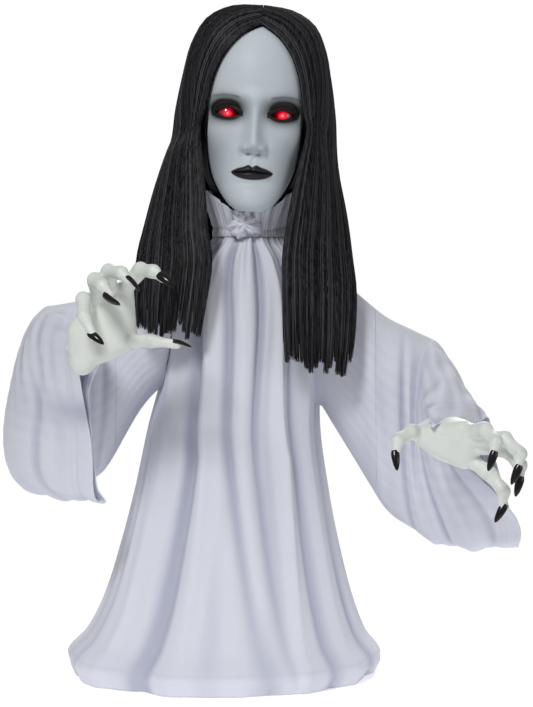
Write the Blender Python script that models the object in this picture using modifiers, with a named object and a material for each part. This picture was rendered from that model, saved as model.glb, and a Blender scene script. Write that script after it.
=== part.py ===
# Animated ghoul figure: a long-haired, gowned standing figure. A motor in the chest turns the head on a
# geared neck, the eyes are lit from behind, and the arms are posed at shoulder, elbow and wrist. The figure
# faces -Y and stands on the floor at Z = 0, with the pole on the Z axis.
import bmesh
import bpy
from math import asin, atan2, cos, exp, pi, radians, sin, sqrt
from mathutils import Matrix, Vector

MM = 0.001

# General fits
FIT = 0.3 * MM
OVERRUN = 3.0 * MM
MERGE = 0.01 * MM

# Stand
BASE_RADIUS = 112.0 * MM
BASE_PLATE_HEIGHT = 10.0 * MM
BASE_WALL = 2.6 * MM
BASE_EDGE_ROUND = 5.0 * MM
BASE_HUB_WALL = 4.5 * MM
BASE_HUB_HEIGHT = 38.0 * MM
BASE_HUB_FOOT = 9.0 * MM
BASE_RIB_WIDTH = 2.2 * MM
BASE_RIB_PAIRS = 3
POLE_RADIUS = 11.0 * MM
POLE_WALL = 1.2 * MM
LOWER_POLE_TOP = 180.0 * MM
POLE_LAP = 45.0 * MM
SOCKET_WALL = 2.4 * MM
SOCKET_DEPTH = 60.0 * MM
SOCKET_FLANGE = 6.0 * MM

# Chest housing
CHEST_FLOOR = 328.0 * MM
CHEST_HEIGHT = 175.0 * MM
CHEST_WIDTH = 112.0 * MM
CHEST_DEPTH = 80.0 * MM
CHEST_TOP_SHARE = 0.84
CHEST_WALL = 2.5 * MM
CHEST_ROUND = 13.0 * MM
BOSS_RADIUS = 4.2 * MM
BOSS_INSET = 13.0 * MM
BOSS_DROP = 15.0 * MM
SCREW_RADIUS = 1.5 * MM
SCREW_HEAD_RADIUS = 2.8 * MM
SCREW_HEAD_HEIGHT = 2.0 * MM
SCREW_GRIP = 10.0 * MM

# Speaker, board, switch and batteries
SPEAKER_RADIUS = 20.0 * MM
SPEAKER_DEPTH = 12.0 * MM
SPEAKER_RISE = 50.0 * MM
GRILLE_SLOTS = 5
GRILLE_SLOT_WIDTH = 2.4 * MM
GRILLE_PITCH = 5.0 * MM
BOARD_WIDTH = 52.0 * MM
BOARD_HEIGHT = 30.0 * MM
BOARD_THICKNESS = 1.6 * MM
BOARD_STANDOFF = 7.0 * MM
BOARD_RISE = 96.0 * MM
CELL_RADIUS = 7.1 * MM
CELL_LENGTH = 50.5 * MM
CELL_NUB = 1.2 * MM
CELL_COUNT = 3
CELL_GAP = 0.8 * MM
HOLDER_WALL = 1.5 * MM
HOLDER_FLOOR_GAP = 8.0 * MM
COVER_THICKNESS = 2.2 * MM
COVER_LAP = 3.0 * MM
RAIL_WIDTH = 3.0 * MM
RAIL_LIP = 1.6 * MM
SWITCH_LENGTH = 22.0 * MM
SWITCH_HEIGHT = 9.0 * MM
SWITCH_DEPTH = 8.0 * MM
SWITCH_SIDE = 24.0 * MM
SWITCH_RISE = 110.0 * MM
SWITCH_TRAVEL = 6.0 * MM
SLIDER_LENGTH = 5.0 * MM
SLIDER_HEIGHT = 4.0 * MM
SLIDER_PROUD = 3.0 * MM

# Head drive
GEAR_MODULE = 1.25 * MM
NECK_TEETH = 36
PINION_TEETH = 12
GEAR_THICKNESS = 6.0 * MM
PINION_EXTRA = 1.0 * MM
PINION_BEARING = radians(32.0)
GEAR_DROP = 33.0 * MM
GEAR_PLATE_THICKNESS = 2.5 * MM
NECK_TUBE_RADIUS = 7.0 * MM
NECK_TUBE_WALL = 2.0 * MM
NECK_SHOULDER = 3.0 * MM
BUSH_WALL = 1.6 * MM
BUSH_FLANGE = 2.5 * MM
BUSH_FLANGE_HEIGHT = 1.2 * MM
PINION_SHAFT_RADIUS = 2.0 * MM
GEARBOX_WIDTH = 30.0 * MM
GEARBOX_DEPTH = 22.0 * MM
GEARBOX_HEIGHT = 30.0 * MM
MOTOR_RADIUS = 10.0 * MM
MOTOR_LENGTH = 26.0 * MM
NECK_FORM_RADIUS = 41.0 * MM
NECK_FORM_HEIGHT = 41.5 * MM
NECK_FORM_WALL = 2.5 * MM

# Head
NECK_GAP = 45.0 * MM
HEAD_HEIGHT = 236.0 * MM
HEAD_WIDTH = 138.0 * MM
HEAD_DEPTH = 180.0 * MM
HEAD_TILT = radians(3.0)
HEAD_SPLIT = 12.0 * MM
FACE_INSET = 12.0 * MM
SKULL_WALL = 3.0 * MM
EYE_SPACING = 64.0 * MM
EYE_LENGTH = 30.0 * MM
EYE_OPENING = 12.0 * MM
LENS_RADIUS = 14.0 * MM
LENS_WALL = 1.6 * MM
LENS_SETBACK = 1.5 * MM
LENS_RIM_DEPTH = 7.0 * MM
LED_RADIUS = 2.5 * MM
LED_LENGTH = 7.0 * MM
LED_BOARD_HEIGHT = 12.0 * MM
LED_BOARD_THICKNESS = 1.6 * MM
LED_POST_RADIUS = 4.0 * MM
SOCKET_CUP_WALL = 3.0 * MM
SOCKET_CUP_HEIGHT = 52.0 * MM
SOCKET_BAR_HEIGHT = 6.0 * MM
SOCKET_BAR_DEPTH = 12.0 * MM
SOCKET_LUG_LENGTH = 10.0 * MM
WIG_THICKNESS = 9.0 * MM
WIG_GAP = 1.7 * MM
HAIR_THICKNESS = 5.0 * MM
HAIR_GAP = 0.6 * MM
HAIR_LENGTH = 440.0 * MM

# Arms
SHOULDER_DROP = 48.0 * MM
SHOULDER_SPAN = 170.0 * MM
SHOULDER_BAR_RADIUS = 6.0 * MM
UPPER_ARM_LENGTH = 155.0 * MM
FOREARM_LENGTH = 165.0 * MM
ARM_RADIUS = 6.0 * MM
FORK_RADIUS = 8.0 * MM
FORK_WIDTH = 16.0 * MM
FORK_ROOT = 18.0 * MM
TONGUE_WIDTH = 6.0 * MM
TONGUE_REACH = 13.0 * MM
TONGUE_HEIGHT = 9.0 * MM
WEB_SHARE = 0.92
PIN_RADIUS = 2.0 * MM
PIN_HEAD_RADIUS = 4.0 * MM
PIN_HEAD_HEIGHT = 1.5 * MM
PEG_RADIUS = 4.5 * MM
PEG_LENGTH = 24.0 * MM
WRIST_RADIUS = 14.5 * MM
WRIST_STUB = 30.0 * MM
HAND_LENGTH = 190.0 * MM
NAIL_LENGTH = 21.0 * MM
NAIL_WIDTH = 9.0 * MM
LEFT_ARM_DROP = radians(32.0)
RIGHT_ARM_DROP = radians(15.0)
LEFT_FOREARM_YAW = radians(-1.2)
LEFT_FOREARM_PITCH = radians(17.2)
RIGHT_FOREARM_YAW = radians(-14.6)
RIGHT_FOREARM_PITCH = radians(11.3)

# Cloth
CLOTH = 1.2 * MM
GOWN_NECK_RISE = 16.0 * MM
GOWN_WIDTH = 376.0 * MM
GOWN_FOLD = 11.0 * MM
HEM_LIFT = 1.0 * MM
COLLAR_HEIGHT = 56.0 * MM
COLLAR_FLARE = 17.0 * MM
COLLAR_PLEAT = 2.2 * MM
SEAM_GAP = 0.4 * MM
SEAM_ALLOWANCE = 1.5 * MM

# Sizes that follow from the ones above
UPPER_POLE_RADIUS = POLE_RADIUS - POLE_WALL - FIT
CHEST_TOP = CHEST_FLOOR + CHEST_HEIGHT
SPEAKER_LEVEL = CHEST_FLOOR + SPEAKER_RISE
BOARD_LEVEL = CHEST_FLOOR + BOARD_RISE
SWITCH_LEVEL = CHEST_FLOOR + SWITCH_RISE
GEAR_PLATE_LEVEL = CHEST_TOP - GEAR_DROP
SHOULDER_LEVEL = CHEST_TOP - SHOULDER_DROP
GOWN_HEIGHT = CHEST_TOP + GOWN_NECK_RISE
CHIN_HEIGHT = CHEST_TOP + NECK_GAP
PITCH_RADIUS = GEAR_MODULE * NECK_TEETH / 2
PINION_PITCH_RADIUS = GEAR_MODULE * PINION_TEETH / 2
GEAR_CENTRES = PITCH_RADIUS + PINION_PITCH_RADIUS
GEAR_BASE = GEAR_PLATE_LEVEL + GEAR_PLATE_THICKNESS + BUSH_FLANGE_HEIGHT + 2 * FIT
BACK_FACE = CHEST_DEPTH / 2
UP = Vector((0, 0, 1))

for old in list(bpy.data.objects):
    bpy.data.objects.remove(old, do_unlink=True)

model = bpy.data.collections.new("animated_ghoul_figure")
cutters = bpy.data.collections.new("cutters")
bpy.context.scene.collection.children.link(model)
bpy.context.scene.collection.children.link(cutters)


# Materials
def make_material(name, colour, roughness, metallic=0.0):
    material = bpy.data.materials.new(name)
    material.use_nodes = True
    shader = material.node_tree.nodes["Principled BSDF"]
    shader.inputs["Base Color"].default_value = (*colour, 1.0)
    shader.inputs["Roughness"].default_value = roughness
    shader.inputs["Metallic"].default_value = metallic
    return material


black_plastic = make_material("black_plastic", (0.02, 0.02, 0.022), 0.5)
grey_plastic = make_material("grey_plastic", (0.22, 0.23, 0.25), 0.5)
white_plastic = make_material("white_plastic", (0.75, 0.75, 0.72), 0.45)
steel_tube = make_material("steel_tube", (0.55, 0.56, 0.58), 0.35, 1.0)
painted_face = make_material("painted_face", (0.50, 0.55, 0.60), 0.6)
pale_vinyl = make_material("pale_vinyl", (0.72, 0.74, 0.70), 0.5)
red_lens = make_material("red_lens", (0.70, 0.01, 0.02), 0.2)
circuit_green = make_material("circuit_green", (0.02, 0.18, 0.07), 0.4)
hair_fibre = make_material("hair_fibre", (0.01, 0.01, 0.012), 0.4)
gown_cloth = make_material("gown_cloth", (0.74, 0.76, 0.86), 0.8)
cell_sleeve = make_material("cell_sleeve", (0.12, 0.13, 0.15), 0.4)


# Ways of making a shape
def add_piece(name, mesh, material, place=None):
    piece = bpy.data.objects.new(name, mesh)
    model.objects.link(piece)
    piece.matrix_world = place if place is not None else Matrix()
    if material is not None:
        mesh.materials.append(material)
    mesh.shade_smooth()
    mesh.set_sharp_from_angle(angle=radians(35.0))
    return piece


def take_mesh(shape, name):
    mesh = bpy.data.meshes.new(name)
    shape.to_mesh(mesh)
    shape.free()
    return mesh


def block(name, low, high, material=None, place=None):
    shape = bmesh.new()
    bmesh.ops.create_cube(shape, size=1.0)
    low = Vector(low)
    high = Vector(high)
    bmesh.ops.scale(shape, vec=high - low, verts=shape.verts)
    bmesh.ops.translate(shape, vec=(low + high) / 2, verts=shape.verts)
    return add_piece(name, take_mesh(shape, name), material, place)


def cylinder(name, start, end, radius, material=None, sides=12):
    start = Vector(start)
    along = Vector(end) - start
    shape = bmesh.new()
    bmesh.ops.create_cone(
        shape, cap_ends=True, segments=sides, radius1=radius, radius2=radius, depth=along.length
    )
    place = Matrix.Translation(start + along / 2) @ UP.rotation_difference(along).to_matrix().to_4x4()
    return add_piece(name, take_mesh(shape, name), material, place)


def turned(name, profile, material=None, place=None, steps=18, ring=False):
    """Turn a profile of (radius, height) points about Z; a ring's profile closes on itself."""
    mesh = bpy.data.meshes.new(name)
    count = len(profile)
    edges = [(i, (i + 1) % count) for i in range(count if ring else count - 1)]
    mesh.from_pydata([(radius, 0.0, height) for radius, height in profile], edges, [])
    piece = add_piece(name, mesh, material, place)
    screw = piece.modifiers.new("turn", "SCREW")
    screw.steps = steps
    screw.render_steps = steps
    screw.use_merge_vertices = True
    screw.merge_threshold = MERGE
    screw.use_smooth_shade = True
    return piece


def tube_profile(outer, inner, bottom, top):
    return [(inner, top), (outer, top), (outer, bottom), (inner, bottom)]


def loft(name, rings, material=None, place=None, closed=True, capped=False, thickness=0.0):
    """Join rings of points, first to last. A closed ring runs anticlockwise seen against the way along."""
    shape = bmesh.new()
    rows = [[shape.verts.new(point) for point in ring] for ring in rings]
    for below, above in zip(rows, rows[1:]):
        count = len(below)
        for i in range(count if closed else count - 1):
            j = (i + 1) % count
            shape.faces.new((below[i], below[j], above[j], above[i]))
    if capped:
        shape.faces.new(list(reversed(rows[0])))
        shape.faces.new(rows[-1])
    piece = add_piece(name, take_mesh(shape, name), material, place)
    if thickness:
        wall = piece.modifiers.new("wall", "SOLIDIFY")
        wall.thickness = thickness
        wall.offset = -1.0
    return piece


def hide(helper):
    model.objects.unlink(helper)
    cutters.objects.link(helper)
    helper.hide_render = True
    helper.display_type = "WIRE"


def combine(piece, other, operation):
    step = piece.modifiers.new(operation.lower(), "BOOLEAN")
    step.operation = operation
    step.object = other
    if other.name not in cutters.objects:
        hide(other)


def cut(piece, *tools):
    for tool in tools:
        combine(piece, tool, "DIFFERENCE")


def join(piece, *additions):
    for addition in additions:
        combine(piece, addition, "UNION")


def axis_marker(name, place):
    marker = bpy.data.objects.new(name, None)
    model.objects.link(marker)
    marker.matrix_world = place
    return marker


def carry(marker, *pieces):
    bpy.context.view_layer.update()
    for piece in pieces:
        piece.parent = marker
        piece.matrix_parent_inverse = marker.matrix_world.inverted()


def bent_through(table, share):
    """Read a table of rows (share, value, value, ...) as one smooth curve through its rows."""
    for i in range(len(table) - 1):
        if share <= table[i + 1][0] or i == len(table) - 2:
            break
    before, start = table[max(i - 1, 0)], table[i]
    end, after = table[i + 1], table[min(i + 2, len(table) - 1)]
    span = end[0] - start[0]
    t = (share - start[0]) / span
    values = []
    for k in range(1, len(start)):
        slope_in = (end[k] - before[k]) / (end[0] - before[0]) * span
        slope_out = (after[k] - start[k]) / (after[0] - start[0]) * span
        values.append(
            (2 * t**3 - 3 * t**2 + 1) * start[k]
            + (t**3 - 2 * t**2 + t) * slope_in
            + (3 * t**2 - 2 * t**3) * end[k]
            + (t**3 - t**2) * slope_out
        )
    return values


# Stand: a ribbed round base, two push-fit tubes and the socket that stops the upper one in the chest
def make_stand():
    hub_radius = POLE_RADIUS + FIT + BASE_HUB_WALL
    under = BASE_PLATE_HEIGHT - BASE_WALL
    base = turned(
        "base_plate",
        [
            (0.0, BASE_PLATE_HEIGHT),
            (POLE_RADIUS + FIT, BASE_PLATE_HEIGHT),
            (POLE_RADIUS + FIT, BASE_HUB_HEIGHT),
            (hub_radius, BASE_HUB_HEIGHT),
            (hub_radius, BASE_PLATE_HEIGHT + BASE_HUB_FOOT),
            (hub_radius + BASE_HUB_FOOT, BASE_PLATE_HEIGHT),
            (BASE_RADIUS - BASE_EDGE_ROUND, BASE_PLATE_HEIGHT),
            (BASE_RADIUS, BASE_PLATE_HEIGHT - BASE_EDGE_ROUND),
            (BASE_RADIUS, 0.0),
            (BASE_RADIUS - BASE_WALL, 0.0),
            (BASE_RADIUS - BASE_WALL, BASE_PLATE_HEIGHT - BASE_EDGE_ROUND - BASE_WALL / 2),
            (BASE_RADIUS - BASE_EDGE_ROUND - BASE_WALL / 2, under),
            (hub_radius + BASE_HUB_FOOT / 2, under),
            (hub_radius, 0.0),
            (0.0, 0.0),
        ],
        black_plastic,
        steps=22,
    )
    reach = BASE_RADIUS - BASE_WALL / 2
    shoulder = BASE_RADIUS - BASE_EDGE_ROUND - BASE_WALL / 2
    low = BASE_PLATE_HEIGHT - BASE_EDGE_ROUND - BASE_WALL / 2
    high = BASE_PLATE_HEIGHT - BASE_WALL / 2
    outline = [(-reach, 0.0), (reach, 0.0), (reach, low), (shoulder, high), (-shoulder, high), (-reach, low)]
    for i in range(BASE_RIB_PAIRS):
        turn = Matrix.Rotation(pi * (i + 0.5) / BASE_RIB_PAIRS, 4, "Z")
        sides = [
            [Vector((x, y, z)) for x, z in outline] for y in (BASE_RIB_WIDTH / 2, -BASE_RIB_WIDTH / 2)
        ]
        join(base, loft(f"base_rib_{i}", sides, place=turn, capped=True))
    turned(
        "lower_pole",
        tube_profile(POLE_RADIUS, POLE_RADIUS - POLE_WALL, BASE_PLATE_HEIGHT + FIT, LOWER_POLE_TOP),
        steel_tube,
        ring=True,
    )
    pole_top = CHEST_FLOOR + SOCKET_DEPTH
    turned(
        "upper_pole",
        tube_profile(UPPER_POLE_RADIUS, UPPER_POLE_RADIUS - POLE_WALL, LOWER_POLE_TOP - POLE_LAP, pole_top),
        steel_tube,
        ring=True,
    )
    inner = UPPER_POLE_RADIUS + FIT
    outer = inner + SOCKET_WALL
    seat = CHEST_FLOOR + CHEST_WALL + FIT
    cap = pole_top + FIT
    turned(
        "pole_socket",
        [
            (0.0, cap + SOCKET_WALL),
            (outer, cap + SOCKET_WALL),
            (outer, seat + SOCKET_WALL),
            (outer + SOCKET_FLANGE, seat + SOCKET_WALL),
            (outer + SOCKET_FLANGE, seat),
            (inner, seat),
            (inner, cap),
            (0.0, cap),
        ],
        grey_plastic,
    )


# Chest: two moulded shells that meet at Y = 0 on four screw bosses
def chest_half_width(height):
    share = (height - CHEST_FLOOR) / CHEST_HEIGHT
    return CHEST_WIDTH / 2 * (1 + (CHEST_TOP_SHARE - 1) * share)


def chest_form(name, inset):
    shape = bmesh.new()
    bmesh.ops.create_cube(shape, size=1.0)
    size = Vector((CHEST_WIDTH - 2 * inset, CHEST_DEPTH - 2 * inset, CHEST_HEIGHT - 2 * inset))
    bmesh.ops.scale(shape, vec=size, verts=shape.verts)
    top_share = (CHEST_WIDTH * CHEST_TOP_SHARE - 2 * inset) / size.x
    for point in shape.verts:
        if point.co.z > 0:
            point.co.x *= top_share
    bmesh.ops.bevel(
        shape, geom=shape.edges[:], offset=CHEST_ROUND - inset, segments=2, profile=0.5, affect="EDGES"
    )
    place = Matrix.Translation((0, 0, CHEST_FLOOR + CHEST_HEIGHT / 2))
    return add_piece(name, take_mesh(shape, name), None, place)


def boss_places():
    for height in (CHEST_FLOOR + BOSS_DROP, CHEST_TOP - BOSS_DROP):
        for side in (-1, 1):
            yield side * (chest_half_width(height) - BOSS_INSET), height


def make_chest():
    half = CHEST_DEPTH / 2
    wall_middle = half - CHEST_WALL / 2
    far = CHEST_DEPTH + CHEST_WIDTH
    inner = chest_form("chest_inner_form", CHEST_WALL)
    pole_hole = cylinder(
        "chest_pole_hole",
        (0, 0, CHEST_FLOOR - OVERRUN),
        (0, 0, CHEST_FLOOR + CHEST_WALL + FIT),
        UPPER_POLE_RADIUS + FIT,
    )
    bar_hole = cylinder(
        "chest_bar_hole", (-far, 0, SHOULDER_LEVEL), (far, 0, SHOULDER_LEVEL), SHOULDER_BAR_RADIUS + FIT
    )
    neck_hole = cylinder(
        "chest_neck_hole",
        (0, 0, CHEST_TOP - CHEST_WALL - OVERRUN),
        (0, 0, CHEST_TOP + OVERRUN),
        NECK_TUBE_RADIUS + BUSH_WALL + 2 * FIT,
    )
    shells = []
    for name, way in (("chest_front_shell", -1), ("chest_back_shell", 1)):
        shell = chest_form(name, 0.0)
        shell.data.materials.clear()
        shell.data.materials.append(black_plastic)
        cut(shell, inner)
        near, away = sorted((way * FIT / 2, way * far))
        half_space = block(f"{name}_half", (-far, near, 0.0), (far, away, CHEST_TOP + far))
        combine(shell, half_space, "INTERSECT")
        shells.append(shell)
        for i, (across, height) in enumerate(boss_places()):
            start = (across, way * FIT / 2, height)
            end = (across, way * wall_middle, height)
            join(shell, cylinder(f"{name}_boss_{i}", start, end, BOSS_RADIUS, sides=8))
    front, back = shells
    for shell in shells:
        cut(shell, pole_hole, bar_hole, neck_hole)

    head_seat = half - SCREW_HEAD_HEIGHT - 2 * FIT
    for i, (across, height) in enumerate(boss_places()):
        grip_end = -SCREW_GRIP
        cut(
            front,
            cylinder(
                f"front_screw_bore_{i}",
                (across, grip_end - 2 * FIT, height),
                (across, OVERRUN, height),
                SCREW_RADIUS + FIT,
                sides=10,
            ),
        )
        cut(
            back,
            cylinder(
                f"back_screw_bore_{i}",
                (across, -OVERRUN, height),
                (across, half + OVERRUN, height),
                SCREW_RADIUS + FIT,
                sides=10,
            ),
            cylinder(
                f"back_screw_head_bore_{i}",
                (across, head_seat, height),
                (across, half + OVERRUN, height),
                SCREW_HEAD_RADIUS + FIT,
                sides=10,
            ),
        )
        top = head_seat + FIT
        turned(
            f"shell_screw_{i + 1}",
            [
                (0.0, top + SCREW_HEAD_HEIGHT),
                (SCREW_HEAD_RADIUS, top + SCREW_HEAD_HEIGHT / 2),
                (SCREW_HEAD_RADIUS, top),
                (SCREW_RADIUS, top),
                (SCREW_RADIUS, grip_end + SCREW_RADIUS),
                (0.0, grip_end),
            ],
            steel_tube,
            place=Matrix.Translation((across, 0, height)) @ Matrix.Rotation(-pi / 2, 4, "X"),
            steps=10,
        )
    make_speaker(front)
    make_board(front)
    make_batteries(back)
    make_switch(back)


def make_speaker(front):
    """A paper-cone speaker behind sound slots in the front shell."""
    slot_half = SPEAKER_RADIUS * 0.6
    for i in range(GRILLE_SLOTS):
        height = SPEAKER_LEVEL + (i - (GRILLE_SLOTS - 1) / 2) * GRILLE_PITCH
        cut(
            front,
            block(
                f"grille_slot_{i}",
                (-slot_half, -CHEST_DEPTH / 2 - OVERRUN, height - GRILLE_SLOT_WIDTH / 2),
                (slot_half, -CHEST_DEPTH / 2 + CHEST_WALL + OVERRUN, height + GRILLE_SLOT_WIDTH / 2),
            ),
        )
    face = CHEST_DEPTH / 2 - CHEST_WALL - FIT
    rim_share, magnet_share, basket_share = 0.15, 0.55, 0.6
    turned(
        "speaker",
        [
            (0.0, face - SPEAKER_DEPTH * basket_share),
            (SPEAKER_RADIUS * magnet_share, face - SPEAKER_DEPTH * rim_share),
            (SPEAKER_RADIUS * (1 - rim_share), face - SPEAKER_DEPTH * rim_share),
            (SPEAKER_RADIUS * (1 - rim_share), face),
            (SPEAKER_RADIUS, face),
            (SPEAKER_RADIUS, face - SPEAKER_DEPTH * rim_share),
            (SPEAKER_RADIUS * magnet_share, face - SPEAKER_DEPTH * basket_share),
            (SPEAKER_RADIUS * magnet_share, face - SPEAKER_DEPTH),
            (0.0, face - SPEAKER_DEPTH),
        ],
        grey_plastic,
        place=Matrix.Translation((0, 0, SPEAKER_LEVEL)) @ Matrix.Rotation(pi / 2, 4, "X"),
        steps=16,
    )


def make_board(front):
    """The control board on two posts moulded inside the front shell."""
    wall_middle = CHEST_DEPTH / 2 - CHEST_WALL / 2
    board_front = -(CHEST_DEPTH / 2 - CHEST_WALL - BOARD_STANDOFF)
    board = block(
        "circuit_board",
        (-BOARD_WIDTH / 2, board_front, BOARD_LEVEL - BOARD_HEIGHT / 2),
        (BOARD_WIDTH / 2, board_front + BOARD_THICKNESS, BOARD_LEVEL + BOARD_HEIGHT / 2),
        circuit_green,
    )
    chip = BOARD_HEIGHT / 3
    join(
        board,
        block(
            "board_chip",
            (-chip / 2, board_front + BOARD_THICKNESS / 2, BOARD_LEVEL - chip / 2),
            (chip / 2, board_front + 2 * BOARD_THICKNESS, BOARD_LEVEL + chip / 2),
        ),
    )
    for side in (-1, 1):
        across = side * (BOARD_WIDTH / 2 - BOSS_RADIUS)
        join(
            front,
            cylinder(
                f"board_post_{side}",
                (across, -wall_middle, BOARD_LEVEL),
                (across, board_front - FIT, BOARD_LEVEL),
                BOSS_RADIUS * 0.8,
                sides=10,
            ),
        )


def make_batteries(back):
    """Three cells in a tray behind a cover that slides down between two moulded rails."""
    pitch = 2 * CELL_RADIUS + CELL_GAP
    inner_half = CELL_RADIUS + pitch * (CELL_COUNT - 1) / 2 + FIT
    half = inner_half + HOLDER_WALL
    low = CHEST_FLOOR + HOLDER_FLOOR_GAP
    inner_low = low + HOLDER_WALL
    inner_high = inner_low + CELL_LENGTH + 2 * FIT
    high = inner_high + HOLDER_WALL
    outside = BACK_FACE - FIT
    floor = outside - 2 * CELL_RADIUS - 2 * FIT
    holder = block("battery_holder", (-half, floor - HOLDER_WALL, low), (half, outside, high), black_plastic)
    cut(
        holder,
        block("holder_bay", (-inner_half, floor, inner_low), (inner_half, outside + OVERRUN, inner_high)),
    )
    cut(
        back,
        block(
            "battery_window",
            (-half - FIT, BACK_FACE - CHEST_WALL - OVERRUN, low - FIT),
            (half + FIT, BACK_FACE + OVERRUN, high + FIT),
        ),
    )
    for i in range(CELL_COUNT):
        across = (i - (CELL_COUNT - 1) / 2) * pitch
        body_top = CELL_LENGTH - CELL_NUB
        turned(
            f"battery_cell_{i + 1}",
            [
                (0.0, CELL_LENGTH),
                (CELL_RADIUS / 3, CELL_LENGTH),
                (CELL_RADIUS / 3, body_top),
                (CELL_RADIUS, body_top),
                (CELL_RADIUS, 0.0),
                (0.0, 0.0),
            ],
            cell_sleeve,
            place=Matrix.Translation((across, floor + FIT + CELL_RADIUS, inner_low + FIT)),
            steps=14,
        )
    cover_half = half + COVER_LAP
    cover_low = low - COVER_LAP
    cover_high = high + COVER_LAP
    inside = BACK_FACE + FIT
    cover = block(
        "battery_cover",
        (-cover_half, inside, cover_low),
        (cover_half, inside + COVER_THICKNESS, cover_high),
        black_plastic,
    )
    for i in range(3):
        grip = cover_low + COVER_LAP * (i + 2)
        join(
            cover,
            block(
                f"cover_grip_{i}",
                (-inner_half / 2, inside + COVER_THICKNESS / 2, grip - COVER_LAP / 6),
                (inner_half / 2, inside + COVER_THICKNESS + RAIL_LIP / 2, grip + COVER_LAP / 6),
            ),
        )
    rail_top = inside + COVER_THICKNESS + FIT
    for side in (-1, 1):
        edge = cover_half + FIT
        near, away = sorted((side * edge, side * (edge + RAIL_WIDTH)))
        lip_near, lip_away = sorted((side * (edge - RAIL_LIP), side * (edge + RAIL_WIDTH)))
        join(
            back,
            block(
                f"cover_rail_{side}",
                (near, BACK_FACE - CHEST_WALL / 2, low),
                (away, rail_top + RAIL_LIP, high),
            ),
            block(f"cover_rail_lip_{side}", (lip_near, rail_top, low), (lip_away, rail_top + RAIL_LIP, high)),
        )
    carry(axis_marker("cover_slide_axis", Matrix.Translation((0, inside, (low + high) / 2))), cover)


def make_switch(back):
    """A slide switch whose knob reaches through the back shell."""
    inside = BACK_FACE - CHEST_WALL - FIT
    low = SWITCH_LEVEL - SWITCH_HEIGHT / 2
    high = SWITCH_LEVEL + SWITCH_HEIGHT / 2
    body = block(
        "switch_body",
        (-SWITCH_SIDE - SWITCH_LENGTH / 2, inside - SWITCH_DEPTH, low),
        (-SWITCH_SIDE + SWITCH_LENGTH / 2, inside, high),
        grey_plastic,
    )
    channel_half = (SLIDER_LENGTH + SWITCH_TRAVEL) / 2 + FIT
    channel_floor = inside - SWITCH_DEPTH / 2
    knob_low = SWITCH_LEVEL - SLIDER_HEIGHT / 2
    knob_high = SWITCH_LEVEL + SLIDER_HEIGHT / 2
    cut(
        body,
        block(
            "switch_channel",
            (-SWITCH_SIDE - channel_half, channel_floor, knob_low - FIT),
            (-SWITCH_SIDE + channel_half, inside + OVERRUN, knob_high + FIT),
        ),
    )
    cut(
        back,
        block(
            "switch_window",
            (-SWITCH_SIDE - channel_half, BACK_FACE - CHEST_WALL - OVERRUN, knob_low - FIT),
            (-SWITCH_SIDE + channel_half, BACK_FACE + OVERRUN, knob_high + FIT),
        ),
    )
    knob_start = -SWITCH_SIDE - channel_half + FIT
    slider = block(
        "switch_slider",
        (knob_start, channel_floor + FIT, knob_low),
        (knob_start + SLIDER_LENGTH, BACK_FACE + SLIDER_PROUD, knob_high),
        white_plastic,
    )
    carry(axis_marker("switch_slide_axis", Matrix.Translation((knob_start, inside, SWITCH_LEVEL))), slider)


# Head drive: motor, gearbox and pinion below a gear on the neck tube
def gear(name, teeth, bore, thickness, material, place, phase):
    root = GEAR_MODULE * (teeth / 2 - 1.25)
    tip = GEAR_MODULE * (teeth / 2 + 1.0)
    root_half_share, tip_half_share = 0.30, 0.11
    outline = []
    for i in range(teeth):
        for radius, share in (
            (root, -root_half_share),
            (tip, -tip_half_share),
            (tip, tip_half_share),
            (root, root_half_share),
        ):
            angle = 2 * pi * (i + share) / teeth + phase
            outline.append((radius * cos(angle), radius * sin(angle)))
    hole_sides = 16 if bore else 0
    hole_angles = [2 * pi * i / hole_sides for i in range(hole_sides)]
    hole = [(bore * cos(angle), bore * sin(angle)) for angle in hole_angles]
    curve = bpy.data.curves.new(f"{name}_outline", "CURVE")
    curve.dimensions = "2D"
    curve.fill_mode = "BOTH"
    curve.extrude = thickness / 2
    for points in filter(None, (outline, hole)):
        spline = curve.splines.new("POLY")
        spline.points.add(len(points) - 1)
        for point, (x, y) in zip(spline.points, points):
            point.co = (x, y, 0.0, 1.0)
        spline.use_cyclic_u = True
    source = bpy.data.objects.new(f"{name}_outline", curve)
    model.objects.link(source)
    source.matrix_world = place
    bpy.context.view_layer.update()
    graph = bpy.context.evaluated_depsgraph_get()
    mesh = bpy.data.meshes.new_from_object(source.evaluated_get(graph))
    shape = bmesh.new()
    shape.from_mesh(mesh)
    bmesh.ops.remove_doubles(shape, verts=shape.verts, dist=MERGE)
    shape.to_mesh(mesh)
    shape.free()
    mesh.materials.clear()
    piece = add_piece(name, mesh, material, source.matrix_world.copy())
    bpy.data.objects.remove(source)
    return piece


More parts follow.
